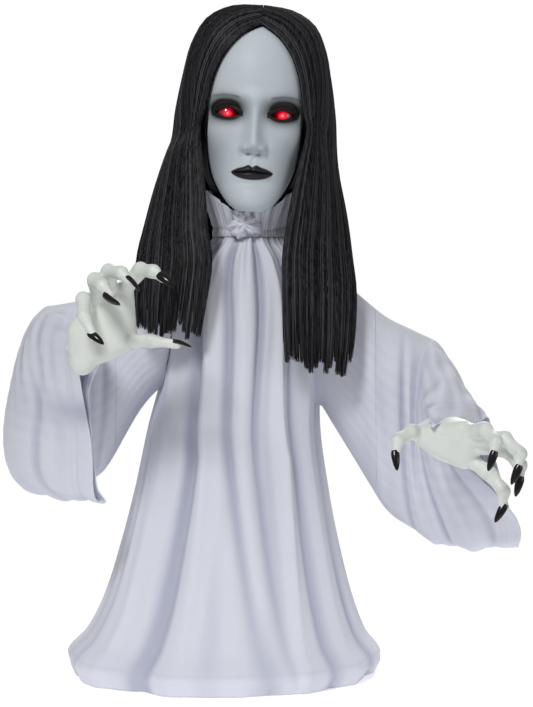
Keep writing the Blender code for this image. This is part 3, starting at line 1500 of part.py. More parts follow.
def make_hand(name, word, shares, wrist, along):
    shape = bmesh.new()
    palm = bmesh.new()
    for point in shares["palm"]:
        bmesh.ops.create_uvsphere(
            palm,
            u_segments=10,
            v_segments=6,
            radius=PALM_RADIUS_SHARE * HAND_LENGTH,
            matrix=Matrix.Translation(Vector(point) * HAND_LENGTH),
        )
    close_hull(palm)
    merge_into(shape, palm)
    stub_end = along * WRIST_STUB
    heel = sum((Vector(point) for point in shares["palm"]), Vector()) / len(shares["palm"]) * HAND_LENGTH
    add_rounded_bone(shape, stub_end, heel, WRIST_RADIUS, WRIST_RADIUS)
    for finger in ("thumb", "index", "middle", "ring", "little"):
        points = [Vector(point) * HAND_LENGTH for point in shares[finger]]
        radii = [share * HAND_LENGTH for share in FINGER_RADIUS_SHARES]
        for i in range(len(points) - 1):
            add_rounded_bone(shape, points[i], points[i + 1], radii[i], radii[i + 1])
    hand = add_piece(name, take_mesh(shape, name), pale_vinyl, Matrix.Translation(wrist))
    skin = hand.modifiers.new("skin", "REMESH")
    skin.mode = "VOXEL"
    skin.voxel_size = PALM_RADIUS_SHARE * HAND_LENGTH / 5
    soften = hand.modifiers.new("soften", "SMOOTH")
    soften.factor = 0.5
    soften.iterations = 2
    thin = hand.modifiers.new("thin", "DECIMATE")
    thin.ratio = 0.033
    stub = cylinder(
        f"{name}_stub",
        wrist + along * FIT,
        wrist + along * (WRIST_STUB + WRIST_RADIUS / 2),
        WRIST_RADIUS,
    )
    join(hand, stub)
    behind = WRIST_STUB * 2
    back_cut = cylinder(f"{name}_back_cut", wrist - along * behind, wrist + along * FIT, 2 * WRIST_STUB)
    bore = cylinder(
        f"{name}_bore",
        wrist - along * OVERRUN,
        wrist + along * (PEG_LENGTH + FIT),
        PEG_RADIUS + FIT,
        sides=12,
    )
    for finger, way in NAIL_WAY_SHARES[word].items():
        tip = wrist + Vector(shares[finger][-1]) * HAND_LENGTH
        join(hand, make_nail(f"{name}_{finger}_nail", tip, Vector(way).normalized()))
    cut(hand, back_cut, bore)
    return hand


def make_nail(name, tip, way):
    shape = bmesh.new()
    bmesh.ops.create_cone(
        shape, cap_ends=True, segments=8, radius1=NAIL_WIDTH / 2, radius2=NAIL_WIDTH / 9, depth=NAIL_LENGTH
    )
    flat_share = 0.55
    bmesh.ops.scale(shape, vec=(1.0, flat_share, 1.0), verts=shape.verts)
    centre = tip + way * NAIL_LENGTH / 2 - way * NAIL_WIDTH / 3
    side = way.cross(UP).normalized()
    top = side.cross(way)
    turn = Matrix((side, top, way)).transposed().to_4x4()
    return add_piece(name, take_mesh(shape, name), None, Matrix.Translation(centre) @ turn)


ARM_POSES = {
    "left": (1, LEFT_ARM_DROP, LEFT_FOREARM_YAW, LEFT_FOREARM_PITCH),
    "right": (-1, RIGHT_ARM_DROP, RIGHT_FOREARM_YAW, RIGHT_FOREARM_PITCH),
}


def arm_points(word):
    """Shoulder, elbow and wrist, and the ways that the upper arm and the forearm point."""
    side, drop, yaw, pitch = ARM_POSES[word]
    shoulder = Vector((side * SHOULDER_SPAN / 2, 0, SHOULDER_LEVEL))
    upper_way = Vector((side * cos(drop), 0, -sin(drop)))
    lower_way = Vector((side * sin(yaw) * cos(pitch), -cos(yaw) * cos(pitch), -sin(pitch)))
    elbow = shoulder + upper_way * UPPER_ARM_LENGTH
    wrist = elbow + lower_way * FOREARM_LENGTH
    return shoulder, elbow, wrist, upper_way, lower_way


def make_arm(word, side, hand_shares):
    shoulder, elbow, wrist, upper_way, lower_way = arm_points(word)
    shoulder_hinge = Vector((0, 1, 0))
    elbow_hinge = upper_way.cross(lower_way).normalized()

    outward = Vector((side, 0, 0))
    fork_place = link_frame(shoulder, outward, shoulder_hinge)
    fork, nose = fork_parts(f"shoulder_fork_{word}", fork_place)
    fork.name = f"shoulder_fork_{word}"
    fork.data.materials.append(grey_plastic)
    join(fork, nose)
    cut(fork, *fork_cuts(f"shoulder_fork_{word}", fork_place))
    socket_depth = FORK_ROOT - FORK_RADIUS - 6 * FIT
    cut(
        fork,
        cylinder(
            f"shoulder_fork_{word}_socket",
            shoulder - outward * (FORK_ROOT + OVERRUN),
            shoulder - outward * (FORK_ROOT - socket_depth),
            SHOULDER_BAR_RADIUS + FIT,
        ),
    )
    hinge_pin(f"shoulder_pin_{word}", fork_place)

    tongue_place = link_frame(shoulder, upper_way, shoulder_hinge)
    elbow_place = link_frame(elbow, upper_way, elbow_hinge)
    upper_arm = cylinder(
        f"upper_arm_{word}",
        shoulder + upper_way * TONGUE_REACH,
        elbow - upper_way * (FORK_ROOT - OVERRUN),
        ARM_RADIUS,
        white_plastic,
    )
    join(upper_arm, *tongue_parts(f"upper_arm_{word}", tongue_place))
    join(upper_arm, *fork_parts(f"elbow_fork_{word}", elbow_place))
    cut(upper_arm, pin_bore(f"upper_arm_{word}_bore", tongue_place))
    cut(upper_arm, *fork_cuts(f"elbow_fork_{word}", elbow_place))
    elbow_pin = hinge_pin(f"elbow_pin_{word}", elbow_place)

    forearm_place = link_frame(elbow, lower_way, elbow_hinge)
    forearm = cylinder(
        f"forearm_{word}", elbow + lower_way * TONGUE_REACH, wrist, ARM_RADIUS, white_plastic
    )
    join(forearm, *tongue_parts(f"forearm_{word}", forearm_place))
    join(
        forearm,
        cylinder(
            f"forearm_{word}_peg",
            wrist - lower_way * ARM_RADIUS,
            wrist + lower_way * PEG_LENGTH,
            PEG_RADIUS,
            sides=12,
        ),
    )
    cut(forearm, pin_bore(f"forearm_{word}_bore", forearm_place))

    hand = make_hand(f"hand_{word}", word, hand_shares, wrist, lower_way)
    carry(axis_marker(f"wrist_axis_{word}", Matrix.Translation(wrist)), hand)
    carry(axis_marker(f"elbow_axis_{word}", elbow_place), forearm)
    carry(axis_marker(f"shoulder_axis_{word}", tongue_place), upper_arm, elbow_pin)


# Cloth: the gown's rows are (height, centre x, half width, half depth, fold) in shares of its height, of its
# width and of the deepest fold; the neck row takes its size from the neck form
GOWN_ROW_SHARES = (
    (0.000, -0.088, 0.480, 0.478, 0.90),
    (0.035, -0.085, 0.497, 0.490, 1.00),
    (0.085, -0.078, 0.440, 0.425, 1.00),
    (0.170, -0.070, 0.388, 0.368, 0.95),
    (0.290, -0.064, 0.342, 0.322, 0.83),
    (0.420, -0.058, 0.303, 0.276, 0.71),
    (0.560, -0.052, 0.270, 0.240, 0.60),
    (0.690, -0.028, 0.249, 0.214, 0.46),
    (0.800, -0.009, 0.244, 0.194, 0.36),
    (0.890, -0.002, 0.232, 0.174, 0.27),
    (0.950, 0.000, 0.190, 0.148, 0.18),
    (0.982, 0.000, 0.137, 0.127, 0.12),
)
FOLD_WAVES = ((7, 0.6, 0.40), (10, 2.2, 0.45), (4, 1.3, 0.15))
GOWN_COLUMNS = 32


def folds(angle):
    return sum(weight * cos(count * angle + start) for count, start, weight in FOLD_WAVES)


def gown_point(angle, share):
    """A point of the gown's outside; angle 0 is +X and a quarter turn is the back."""
    centre, half_width, half_depth, fold = bent_through(GOWN_ROW_SHARES, share)
    rise = GOWN_FOLD * fold * folds(angle)
    x = centre * GOWN_WIDTH + (half_width * GOWN_WIDTH + rise) * cos(angle)
    y = (half_depth * GOWN_WIDTH + rise) * sin(angle)
    return Vector((x, y, HEM_LIFT + share * (GOWN_HEIGHT - HEM_LIFT)))


def make_gown():
    angles = [2 * pi * i / GOWN_COLUMNS for i in range(GOWN_COLUMNS)]
    rings = [[gown_point(angle, row[0]) for angle in angles] for row in GOWN_ROW_SHARES]
    neck_fold = COLLAR_PLEAT / 3
    neck_radius = NECK_FORM_RADIUS + FIT + CLOTH + neck_fold
    neck = [
        Vector((
            (neck_radius + neck_fold * folds(angle)) * cos(angle),
            (neck_radius + neck_fold * folds(angle)) * sin(angle),
            GOWN_HEIGHT,
        ))
        for angle in angles
    ]
    gown = loft("gown_body", rings + [neck], gown_cloth, thickness=CLOTH)
    for word, side in (("left", 1), ("right", -1)):
        oval = sleeve_ring(word, 0.0, SEAM_GAP)
        inside = CHEST_WIDTH * 0.3
        outside = GOWN_WIDTH / 2
        ends = [[Vector((side * x, point.y, point.z)) for point in oval] for x in (inside, outside)]
        cut(gown, loft(f"armhole_{word}", ends, capped=True))


# Sleeve rings are (place, shift, cover, hang, half width, heading, swing): the place in shares of the way from
# shoulder to wrist, the lengths in shares of the arm's length, with the cover above and the hang below the
# arm's axis, the shift toward the ring's back edge and the swing of its bottom away from the body, and the
# heading in quarter turns from outward to forward. The left cuff faces outward, the right one inward
SLEEVE_SHARES = {
    "left": (
        (0.00, 0.000, 0.100, 0.422, 0.125, 0.00, 0.00),
        (0.13, 0.000, 0.084, 0.534, 0.150, 0.00, 0.00),
        (0.28, 0.000, 0.058, 0.653, 0.175, 0.05, 0.00),
        (0.40, 0.006, 0.068, 0.680, 0.200, 0.15, 0.00),
        (0.50, 0.030, 0.075, 0.678, 0.225, 0.28, 0.02),
        (0.66, 0.055, 0.072, 0.640, 0.240, 0.40, 0.12),
        (0.88, 0.060, 0.066, 0.545, 0.230, 0.44, 0.26),
    ),
    "right": (
        (0.00, 0.000, 0.094, 0.297, 0.119, 0.00, 0.00),
        (0.14, 0.000, 0.069, 0.394, 0.144, 0.00, 0.00),
        (0.30, 0.000, 0.058, 0.603, 0.169, 0.06, 0.00),
        (0.42, 0.006, 0.066, 0.625, 0.182, 0.22, 0.00),
        (0.50, 0.020, 0.072, 0.619, 0.188, 0.50, 0.00),
        (0.66, 0.000, 0.088, 0.594, 0.170, 0.92, -0.03),
        (0.88, -0.040, 0.098, 0.556, 0.132, 1.20, -0.07),
    ),
}
SLEEVE_COLUMNS = 18
SLEEVE_RINGS = 10


def gown_side(side, y, height):
    """How far the gown's outside reaches toward the side at a depth and height."""
    share = (height - HEM_LIFT) / (GOWN_HEIGHT - HEM_LIFT)
    low, high = radians(-70.0), radians(70.0)
    for _ in range(24):
        angle = (low + high) / 2
        point = gown_point(pi / 2 * (1 - side) + side * angle, share)
        if point.y < y:
            low = angle
        else:
            high = angle
    return side * point.x


def sleeve_ring(word, place, grow=0.0):
    """One ring of a sleeve's outside, at a share of the way from shoulder to wrist."""
    side = ARM_POSES[word][0]
    shoulder, elbow, wrist = arm_points(word)[:3]
    reach = UPPER_ARM_LENGTH + FOREARM_LENGTH
    elbow_share = UPPER_ARM_LENGTH / reach
    shift, cover, hang, half_width, heading, swing = bent_through(SLEEVE_SHARES[word], place)
    if place < elbow_share:
        axis = shoulder.lerp(elbow, place / elbow_share)
    else:
        axis = elbow.lerp(wrist, (place - elbow_share) / (1 - elbow_share))
    turn = heading * pi / 2
    across = Vector((side * sin(turn), cos(turn), 0))
    half_height = (cover + hang) / 2 * reach
    centre = axis + across * shift * reach + UP * (cover * reach - half_height)
    ring = []
    for i in range(SLEEVE_COLUMNS):
        angle = 2 * pi * i / SLEEVE_COLUMNS
        low = (1 - sin(angle)) / 2
        pucker = 1 + 0.07 * place * low * cos(5 * angle + 3 * place)
        outward = side * swing * reach * low**2 * (3 - 2 * low) * (1 - 0.6 * side * cos(angle))
        ring.append(
            centre
            + across * ((half_width * reach + grow) * cos(angle) * pucker)
            + UP * ((half_height + grow) * sin(angle))
            + Vector((outward, 0, 0))
        )
    if side < 0:
        ring.reverse()
    return ring


def make_sleeve(word):
    """A sleeve whose first stretch stands in the armhole, where the seam holds it."""
    side = ARM_POSES[word][0]
    last = SLEEVE_SHARES[word][-1][0]
    rings = []
    for depth in (-CLOTH - SEAM_ALLOWANCE, SEAM_ALLOWANCE):
        ring = sleeve_ring(word, 0.0)
        for point in ring:
            point.x = side * (gown_side(side, point.y, point.z) + depth)
        rings.append(ring)
    for number in range(1, SLEEVE_RINGS):
        rings.append(sleeve_ring(word, last * number / (SLEEVE_RINGS - 1)))
    loft(f"sleeve_{word}", rings, gown_cloth, thickness=CLOTH)


def make_collar():
    columns = 32
    base = GOWN_HEIGHT + 2 * FIT
    waist_radius = NECK_FORM_RADIUS + FIT + CLOTH + COLLAR_PLEAT / 2
    front_drop_share = 0.52
    lift_start_share, lift_span_share = 0.38, 0.28
    flare_start_share = 0.18
    rings = []
    for share in (0.0, 0.22, 0.6, 1.0):
        ring = []
        for i in range(columns):
            angle = 2 * pi * i / columns
            from_front = abs(sin((angle + pi / 2) / 2))
            lift = min(1.0, max(0.0, (from_front - lift_start_share) / lift_span_share))
            top = COLLAR_HEIGHT * (1 - front_drop_share * (1 - lift))
            flare = COLLAR_FLARE * max(0.0, share - flare_start_share) ** 1.4
            pleat = COLLAR_PLEAT / 2 * (1 + share) * cos(8 * angle)
            radius = waist_radius + COLLAR_PLEAT / 2 * share + flare + pleat * min(1.0, share + 0.3)
            ring.append(Vector((radius * cos(angle), radius * sin(angle), base + top * share)))
        rings.append(ring)
    loft("collar_ruffle", rings, gown_cloth, thickness=CLOTH)


make_stand()
make_chest()
make_head(*make_drive())
shoulder_bar_half = SHOULDER_SPAN / 2 - FORK_RADIUS - 7 * FIT
cylinder(
    "shoulder_bar",
    (-shoulder_bar_half, 0, SHOULDER_LEVEL),
    (shoulder_bar_half, 0, SHOULDER_LEVEL),
    SHOULDER_BAR_RADIUS,
    steel_tube,
)
make_arm("left", 1, LEFT_HAND_SHARES)
make_arm("right", -1, RIGHT_HAND_SHARES)
make_gown()
make_sleeve("left")
make_sleeve("right")
make_collar()
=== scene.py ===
from math import pi, radians, sin

import bmesh
import bpy
import numpy as np
from mathutils import Matrix, Vector


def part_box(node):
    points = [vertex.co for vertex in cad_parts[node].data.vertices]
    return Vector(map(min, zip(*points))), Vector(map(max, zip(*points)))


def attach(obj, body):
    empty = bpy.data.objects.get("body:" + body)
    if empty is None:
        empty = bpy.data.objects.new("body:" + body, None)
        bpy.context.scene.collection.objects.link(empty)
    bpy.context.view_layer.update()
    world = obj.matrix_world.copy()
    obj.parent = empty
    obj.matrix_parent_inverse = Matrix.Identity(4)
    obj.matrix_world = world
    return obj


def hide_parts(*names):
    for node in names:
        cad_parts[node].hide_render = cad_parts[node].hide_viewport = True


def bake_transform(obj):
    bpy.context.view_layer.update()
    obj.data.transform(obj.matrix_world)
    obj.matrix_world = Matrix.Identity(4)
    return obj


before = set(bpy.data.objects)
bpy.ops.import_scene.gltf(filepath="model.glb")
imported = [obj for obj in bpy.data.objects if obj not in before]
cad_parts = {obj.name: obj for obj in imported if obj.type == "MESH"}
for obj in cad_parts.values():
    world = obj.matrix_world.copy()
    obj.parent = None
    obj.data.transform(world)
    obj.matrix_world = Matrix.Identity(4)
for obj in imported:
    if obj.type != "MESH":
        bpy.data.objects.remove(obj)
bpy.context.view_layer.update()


# Studio: a pale painted floor that runs out of sight under soft white light, with one large lamp high on the
# left, a weaker one on the right and a low one behind. The figure stands free on the floor.
MM = 0.001


class Signal:
    """A value inside a finish: sums and products with it add the nodes that work them out."""

    def __init__(self, tree, socket=None):
        self.tree = tree
        self.socket = socket

    def add(self, kind, settings=None, inputs=None, output=0):
        """Add a node, set it up, then feed its inputs with numbers, colours or other signals."""
        node = self.tree.nodes.new(kind)
        for name, value in (settings or {}).items():
            if name == "stops":
                ramp = node.color_ramp.elements
                ramp[0].position, ramp[0].color = value[0]
                ramp[1].position, ramp[1].color = value[-1]
                for position, colour in value[1:-1]:
                    ramp.new(position).color = colour
            else:
                setattr(node, name, value)
        for name, value in (inputs or {}).items():
            if isinstance(value, Signal):
                self.tree.links.new(value.socket, node.inputs[name])
            else:
                node.inputs[name].default_value = value
        return Signal(self.tree, node.outputs[output]) if node.outputs else None

    def worked(self, operation, *values):
        return self.add("ShaderNodeMath", {"operation": operation}, dict(enumerate(values)))

    def __add__(self, other):
        return self.worked("ADD", self, other)

    def __sub__(self, other):
        return self.worked("SUBTRACT", self, other)

    def __rsub__(self, other):
        return self.worked("SUBTRACT", other, self)

    def __mul__(self, other):
        return self.worked("MULTIPLY", self, other)

    def __pow__(self, other):
        return self.worked("POWER", self, other)

    __radd__ = __add__
    __rmul__ = __mul__

    def held(self, low, high):
        return self.worked("MINIMUM", self.worked("MAXIMUM", self, low), high)

    def stretched(self, x, y, z):
        return self.add("ShaderNodeVectorMath", {"operation": "MULTIPLY"}, {0: self, 1: (x, y, z)})

    def mark(self, name):
        """What the piece's own mark of that name says at each point."""
        return self.add("ShaderNodeAttribute", {"attribute_name": name}, output="Fac")

    def mottle(self, scale, detail=3.0, roughness=0.55):
        return self.add(
            "ShaderNodeTexNoise",
            inputs={"Vector": self, "Scale": scale, "Detail": detail, "Roughness": roughness},
        )

    def colour(self, first, second):
        """The colour that goes from the first to the second as this signal goes from 0 to 1."""
        return self.add("ShaderNodeMix", {"data_type": "RGBA"}, {0: self, 6: first, 7: second}, 2)


def start_finish(name):
    """A new material and the place on the piece that its pattern is worked out from."""
    material = bpy.data.materials.new(name)
    material.use_nodes = True
    material.node_tree.nodes.clear()
    return material, Signal(material.node_tree).add("ShaderNodeTexCoord", output="Object")


def end_finish(place, sockets, bump=None, depth=0.0):
    if bump is not None:
        sockets["Normal"] = place.add("ShaderNodeBump", inputs={"Height": bump, "Distance": depth})
    surface = place.add("ShaderNodeBsdfPrincipled", inputs=sockets)
    place.add("ShaderNodeOutputMaterial", inputs={"Surface": surface})


floor_paint, place = start_finish("floor_paint")
cloudy = place.mottle(1.3)
paint = place.add(
    "ShaderNodeBsdfPrincipled",
    inputs={
        "Base Color": cloudy.colour((0.90, 0.90, 0.905, 1), (0.94, 0.94, 0.945, 1)),
        "Roughness": 0.55 + 0.1 * place.mottle(9.0),
        "Emission Color": (1.0, 1.0, 1.0, 1),
        "Emission Strength": 0.4,
    },
)
clear = place.add("ShaderNodeBsdfTransparent")
distance = place.add("ShaderNodeVectorMath", {"operation": "LENGTH"}, {0: place}, "Value")
worn_out = ((distance - 0.55) * 1.4).held(0, 1)
blended = place.add("ShaderNodeMixShader", inputs={0: worn_out, 1: paint, 2: clear})
place.add("ShaderNodeOutputMaterial", inputs={"Surface": blended})
FLOOR_REACH = 1.4
floor_mesh = bpy.data.meshes.new("studio_floor")
floor_mesh.from_pydata(
    [(x * FLOOR_REACH, y * FLOOR_REACH, 0) for x, y in ((-1, -1), (1, -1), (1, 1), (-1, 1))], [], [(0, 1, 2, 3)]
)
floor_mesh.materials.append(floor_paint)
floor = bpy.data.objects.new("studio_floor", floor_mesh)
bpy.context.collection.objects.link(floor)

world = bpy.data.worlds.new("studio_air")
world.use_nodes = True
world.node_tree.nodes.clear()
air = Signal(world.node_tree)
seen = air.add("ShaderNodeLightPath", output="Is Camera Ray")
backdrop = air.add("ShaderNodeBackground", inputs={"Color": (1.0, 1.0, 1.0, 1), "Strength": 0.36 + 0.66 * seen})
air.add("ShaderNodeOutputWorld", inputs={"Surface": backdrop})
bpy.context.scene.world = world
bpy.context.scene.view_settings.view_transform = "Standard"

for name, spot, aim, size, watts in (
    ("key_lamp", (-0.9, -2.3, 2.4), (0, 0, 0.42), 0.7, 54.0),
    ("fill_lamp", (2.4, -1.7, 1.0), (0, 0, 0.45), 1.4, 9.0),
    ("back_lamp", (0.5, 2.4, 1.6), (0, 0, 0.4), 1.4, 30.0),
):
    lamp = bpy.data.lights.new(name, "AREA")
    lamp.shape = "DISK"
    lamp.size = size
    lamp.energy = watts
    holder = bpy.data.objects.new(name, lamp)
    holder.location = spot
    holder.rotation_euler = (Vector(aim) - Vector(spot)).to_track_quat("-Z", "Y").to_euler()
    bpy.context.collection.objects.link(holder)

lens = bpy.data.cameras.new("studio_camera")
lens.lens = 110.6
lens.sensor_width = 36.0
camera = bpy.data.objects.new("studio_camera", lens)
camera.location = (0, -2.6, 0.465)
camera.rotation_euler = (radians(90 - 1.857), 0, radians(-0.435))
bpy.context.collection.objects.link(camera)
bpy.context.scene.camera = camera


# Stand: a ribbed round base moulded in black, two push-fit tubes of drawn steel and the grey socket that stops
# the upper tube in the chest. The gown hides all of it, and it is seen only from under the hem.
def moulded_finish(name, dark, pale, roughness, grain=900.0):
    """Moulded plastic: fine sparked grain and slight flow marks that vary its colour and roughness."""
    material, place = start_finish(name)
    flow = place.stretched(1.0, 1.0, 0.35).mottle(28.0)
    fine = place.mottle(grain, detail=2.0)
    end_finish(
        place,
        {
            "Base Color": flow.colour(dark, pale),
            "Roughness": roughness - 0.08 + 0.16 * flow,
            "Specular IOR Level": 0.45,
        },
        bump=fine * 0.6 + flow * 0.4,
        depth=0.06 * MM,
    )
    return material


def dress(material, slot, *names):
    """Give CAD pieces whose shape is right their finish."""
    for name in names:
        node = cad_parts[name]
        for holder in node.material_slots:
            holder.material = material


black_moulding = moulded_finish("black_moulding", (0.014, 0.014, 0.016, 1), (0.026, 0.026, 0.029, 1), 0.55)
grey_moulding = moulded_finish("grey_moulding", (0.19, 0.20, 0.22, 1), (0.25, 0.26, 0.28, 1), 0.48)
white_moulding = moulded_finish("white_moulding", (0.70, 0.70, 0.67, 1), (0.79, 0.79, 0.76, 1), 0.42, 1400.0)

drawn_steel, place = start_finish("drawn_steel")
scratches = place.stretched(900.0, 900.0, 6.0).mottle(1.0, detail=4.0)
stains = place.mottle(22.0)
end_finish(
    place,
    {
        "Base Color": stains.colour((0.46, 0.47, 0.49, 1), (0.62, 0.63, 0.65, 1)),
        "Roughness": 0.26 + 0.16 * scratches,
        "Metallic": 1.0,
    },
    bump=scratches,
    depth=0.03 * MM,
)
dress(black_moulding, "black_plastic", "base_plate")
dress(grey_moulding, "grey_plastic", "pole_socket")
dress(drawn_steel, "steel_tube", "lower_pole", "upper_pole")

# Chest: two black half shells joined by four steel screws, with the white neck form above them that fills the
# collar. Inside are the grey gear plate, the motor with its gearbox and the white nylon gears that turn the head.
dress(black_moulding, "black_plastic", "chest_front_shell", "chest_back_shell")
dress(drawn_steel, "steel_tube", "shell_screw_1", "shell_screw_2", "shell_screw_3", "shell_screw_4")
dress(grey_moulding, "grey_plastic", "gear_plate", "gearbox_housing", "head_socket")
dress(drawn_steel, "steel_tube", "motor_can", "neck_tube")
dress(white_moulding, "white_plastic", "drive_pinion", "neck_gear", "neck_lower_bush", "neck_upper_bush")

# Electrics: a green circuit board under lacquer, a loudspeaker, three sleeved cells in a black holder with a
# sliding cover, a slide switch, and a small board behind the face that carries the two eye diodes.
board_green, place = start_finish("board_green")
tracks = place.add(
    "ShaderNodeTexVoronoi", {"feature": "DISTANCE_TO_EDGE"}, {"Vector": place, "Scale": 180.0}
).worked("LESS_THAN", place.add("ShaderNodeTexVoronoi", inputs={"Vector": place, "Scale": 180.0}), 0.32)
end_finish(
    place,
    {
        "Base Color": tracks.colour((0.012, 0.12, 0.045, 1), (0.03, 0.22, 0.085, 1)),
        "Roughness": 0.3 + 0.1 * place.mottle(60.0),
        "Coat Weight": 0.4,
    },
    bump=tracks,
    depth=0.04 * MM,
)
cell_wrap, place = start_finish("cell_wrap")
bands = place.add("ShaderNodeTexWave", {"bands_direction": "Z"}, {"Vector": place, "Scale": 14.0})
end_finish(
    place,
    {
        "Base Color": bands.colour((0.10, 0.11, 0.13, 1), (0.15, 0.16, 0.18, 1)),
        "Roughness": 0.28 + 0.1 * place.mottle(90.0),
        "Metallic": 0.3,
    },
)
diode_red, place = start_finish("diode_red")
end_finish(
    place,
    {
        "Base Color": place.mottle(400.0).colour((0.55, 0.0, 0.01, 1), (0.75, 0.01, 0.02, 1)),
        "Roughness": 0.15,
        "Emission Color": (1.0, 0.05, 0.05, 1),
        "Emission Strength": 1.5,
    },
)
dress(board_green, "circuit_green", "circuit_board", "led_board")
dress(grey_moulding, "grey_plastic", "speaker")
dress(black_moulding, "black_plastic", "battery_holder", "battery_cover", "switch_body", "switch_slider")
dress(cell_wrap, "cell_sleeve", "battery_cell_1", "battery_cell_2", "battery_cell_3")
dress(diode_red, "red_lens", "eye_led_left", "eye_led_right")

# Arms: a steel bar across the chest with grey forks at its ends, white upper arms and forearms on steel pins.
# The sleeves cover them, and each hand swivels on its forearm's peg.
dress(drawn_steel, "steel_tube", "shoulder_bar", "shoulder_pin_left", "shoulder_pin_right")
dress(drawn_steel, "steel_tube", "elbow_pin_left", "elbow_pin_right")
dress(grey_moulding, "grey_plastic", "shoulder_fork_left", "shoulder_fork_right")
dress(white_moulding, "white_plastic", "upper_arm_left", "upper_arm_right", "forearm_left", "forearm_right")


# Face: one thin moulded mask with closed calm lips, painted a cold grey-blue, with smoky shading round the eyes
# and black satin lips laid on over it. It clips to the black back shell along a line that the hair covers.
CHIN_HEIGHT = 548.0 * MM
HEAD_HEIGHT = 236.0
HEAD_WIDTH = 138.0
HEAD_DEPTH = 180.0
HEAD_SPLIT = 12.0
HEAD_SECTION_SHARES = (
    (0.00, 0.11, -0.440, -0.300),
    (0.03, 0.18, -0.470, -0.200),
    (0.08, 0.25, -0.472, -0.060),
    (0.14, 0.31, -0.462, 0.100),
    (0.20, 0.355, -0.457, 0.220),
    (0.28, 0.40, -0.455, 0.330),
    (0.38, 0.45, -0.460, 0.420),
    (0.48, 0.482, -0.465, 0.475),
    (0.58, 0.50, -0.475, 0.500),
    (0.68, 0.50, -0.470, 0.500),
    (0.78, 0.475, -0.440, 0.480),
    (0.87, 0.41, -0.375, 0.420),
    (0.94, 0.30, -0.265, 0.310),
    (0.985, 0.16, -0.130, 0.170),
    (1.00, 0.06, -0.040, 0.060),
)
head_tilt = Matrix.Translation((0, 0, CHIN_HEIGHT)) @ Matrix.Rotation(radians(3.0), 4, "Y")
head_tilt = head_tilt @ Matrix.Translation((0, 0, -CHIN_HEIGHT))


def bent_through(table, share):
    """Read a table of rows (share, value, value, ...) as one smooth curve through its rows."""
    rows = np.array(table, float)
    share = np.asarray(share, float)
    i = np.clip(np.searchsorted(rows[:, 0], share) - 1, 0, len(rows) - 2)
    before, start = rows[np.maximum(i - 1, 0)], rows[i]
    end, after = rows[i + 1], rows[np.minimum(i + 2, len(rows) - 1)]
    span = end[..., :1] - start[..., :1]
    t = (share[..., None] - start[..., :1]) / span
    slope_in = (end - before)[..., 1:] / (end - before)[..., :1] * span
    slope_out = (after - start)[..., 1:] / (after - start)[..., :1] * span
    values = (
        (2 * t**3 - 3 * t**2 + 1) * start[..., 1:]
        + (t**3 - 2 * t**2 + t) * slope_in
        + (3 * t**2 - 2 * t**3) * end[..., 1:]
        + (t**3 - t**2) * slope_out
    )
    return np.moveaxis(values, -1, 0)


def eased(value, low=0.0, high=1.0):
    t = np.clip((value - low) / (high - low), 0, 1)
    return t * t * (3 - 2 * t)


def bell(offset, width, power=2):
    """1 at the middle of a rounded mark, falling to 0 outside its half width."""
    return np.exp(-((offset / width) ** power))


def spots(x, y, z):
    """Points from their coordinates, each a number or an array."""
    return np.stack(np.broadcast_arrays(x, y, z), -1)


def head_point(azimuth, share, grow=0.0):
    """Points on the plain head in millimetres above the chin; azimuth 0 is the face's middle, a quarter is +X."""
    half_width, front, back = bent_through(HEAD_SECTION_SHARES, share)
    half_width = half_width * HEAD_WIDTH + grow
    front = front * HEAD_DEPTH - grow
    back = back * HEAD_DEPTH + grow
    middle = HEAD_HEIGHT / 2
    x = half_width * np.sin(azimuth)
    y = (front + back) / 2 - (back - front) / 2 * np.cos(azimuth)
    z = middle + (share * HEAD_HEIGHT - middle) * (1 + grow / middle)
    return spots(x, y, z)


def add_piece(name, points, quads, material, marks=None):
    """A smooth piece of quads on points in metres, with named marks on its points."""
    mesh = bpy.data.meshes.new(name)
    mesh.from_pydata(points.reshape(-1, 3).tolist(), [], quads.reshape(-1, 4).tolist())
    for mark, values in (marks or {}).items():
        layer = mesh.attributes.new(mark, "FLOAT", "POINT")
        layer.data.foreach_set("value", values.astype(np.float32).ravel())
    mesh.materials.append(material)
    mesh.shade_smooth()
    piece = bpy.data.objects.new(name, mesh)
    bpy.context.collection.objects.link(piece)
    return piece


def lay_sheet(name, points, material, closed=False, thickness=0.0, marks=None):
    """A smooth sheet through a grid of points, closed into a ring if so said, with its thickness inward."""
    rows, columns = points.shape[:2]
    index = np.arange(rows * columns).reshape(rows, columns)
    if closed:
        index = np.hstack([index, index[:, :1]])
    quads = np.stack([index[:-1, :-1], index[:-1, 1:], index[1:, 1:], index[1:, :-1]], -1)
    piece = add_piece(name, points, quads, material, marks)
    if thickness:
        wall = piece.modifiers.new("wall", "SOLIDIFY")
        wall.thickness = thickness
        wall.offset = -1.0
        settle(piece)
    return piece


def settle(piece):
    """Turn the piece's modifiers into its mesh."""
    graph = bpy.context.evaluated_depsgraph_get()
    made = bpy.data.meshes.new_from_object(piece.evaluated_get(graph))
    piece.modifiers.clear()
    piece.data = made
    made.shade_smooth()


def on_head_axis(points):
    """Millimetres above the chin in the upright head to metres in the tilted one."""
    placed = points * MM + np.array([0, 0, CHIN_HEIGHT])
    turn = np.array(head_tilt)
    return placed @ turn[:3, :3].T + turn[:3, 3]


def spaced(stops):
    """Numbers from the first stop to the last, each stretch of (start, step) at its own step."""
    values = []
    for (start, step), (end, _) in zip(stops, stops[1:]):
        values += list(np.linspace(start, end, max(2, round((end - start) / step)), endpoint=False))
    return np.array(values + [stops[-1][0]])


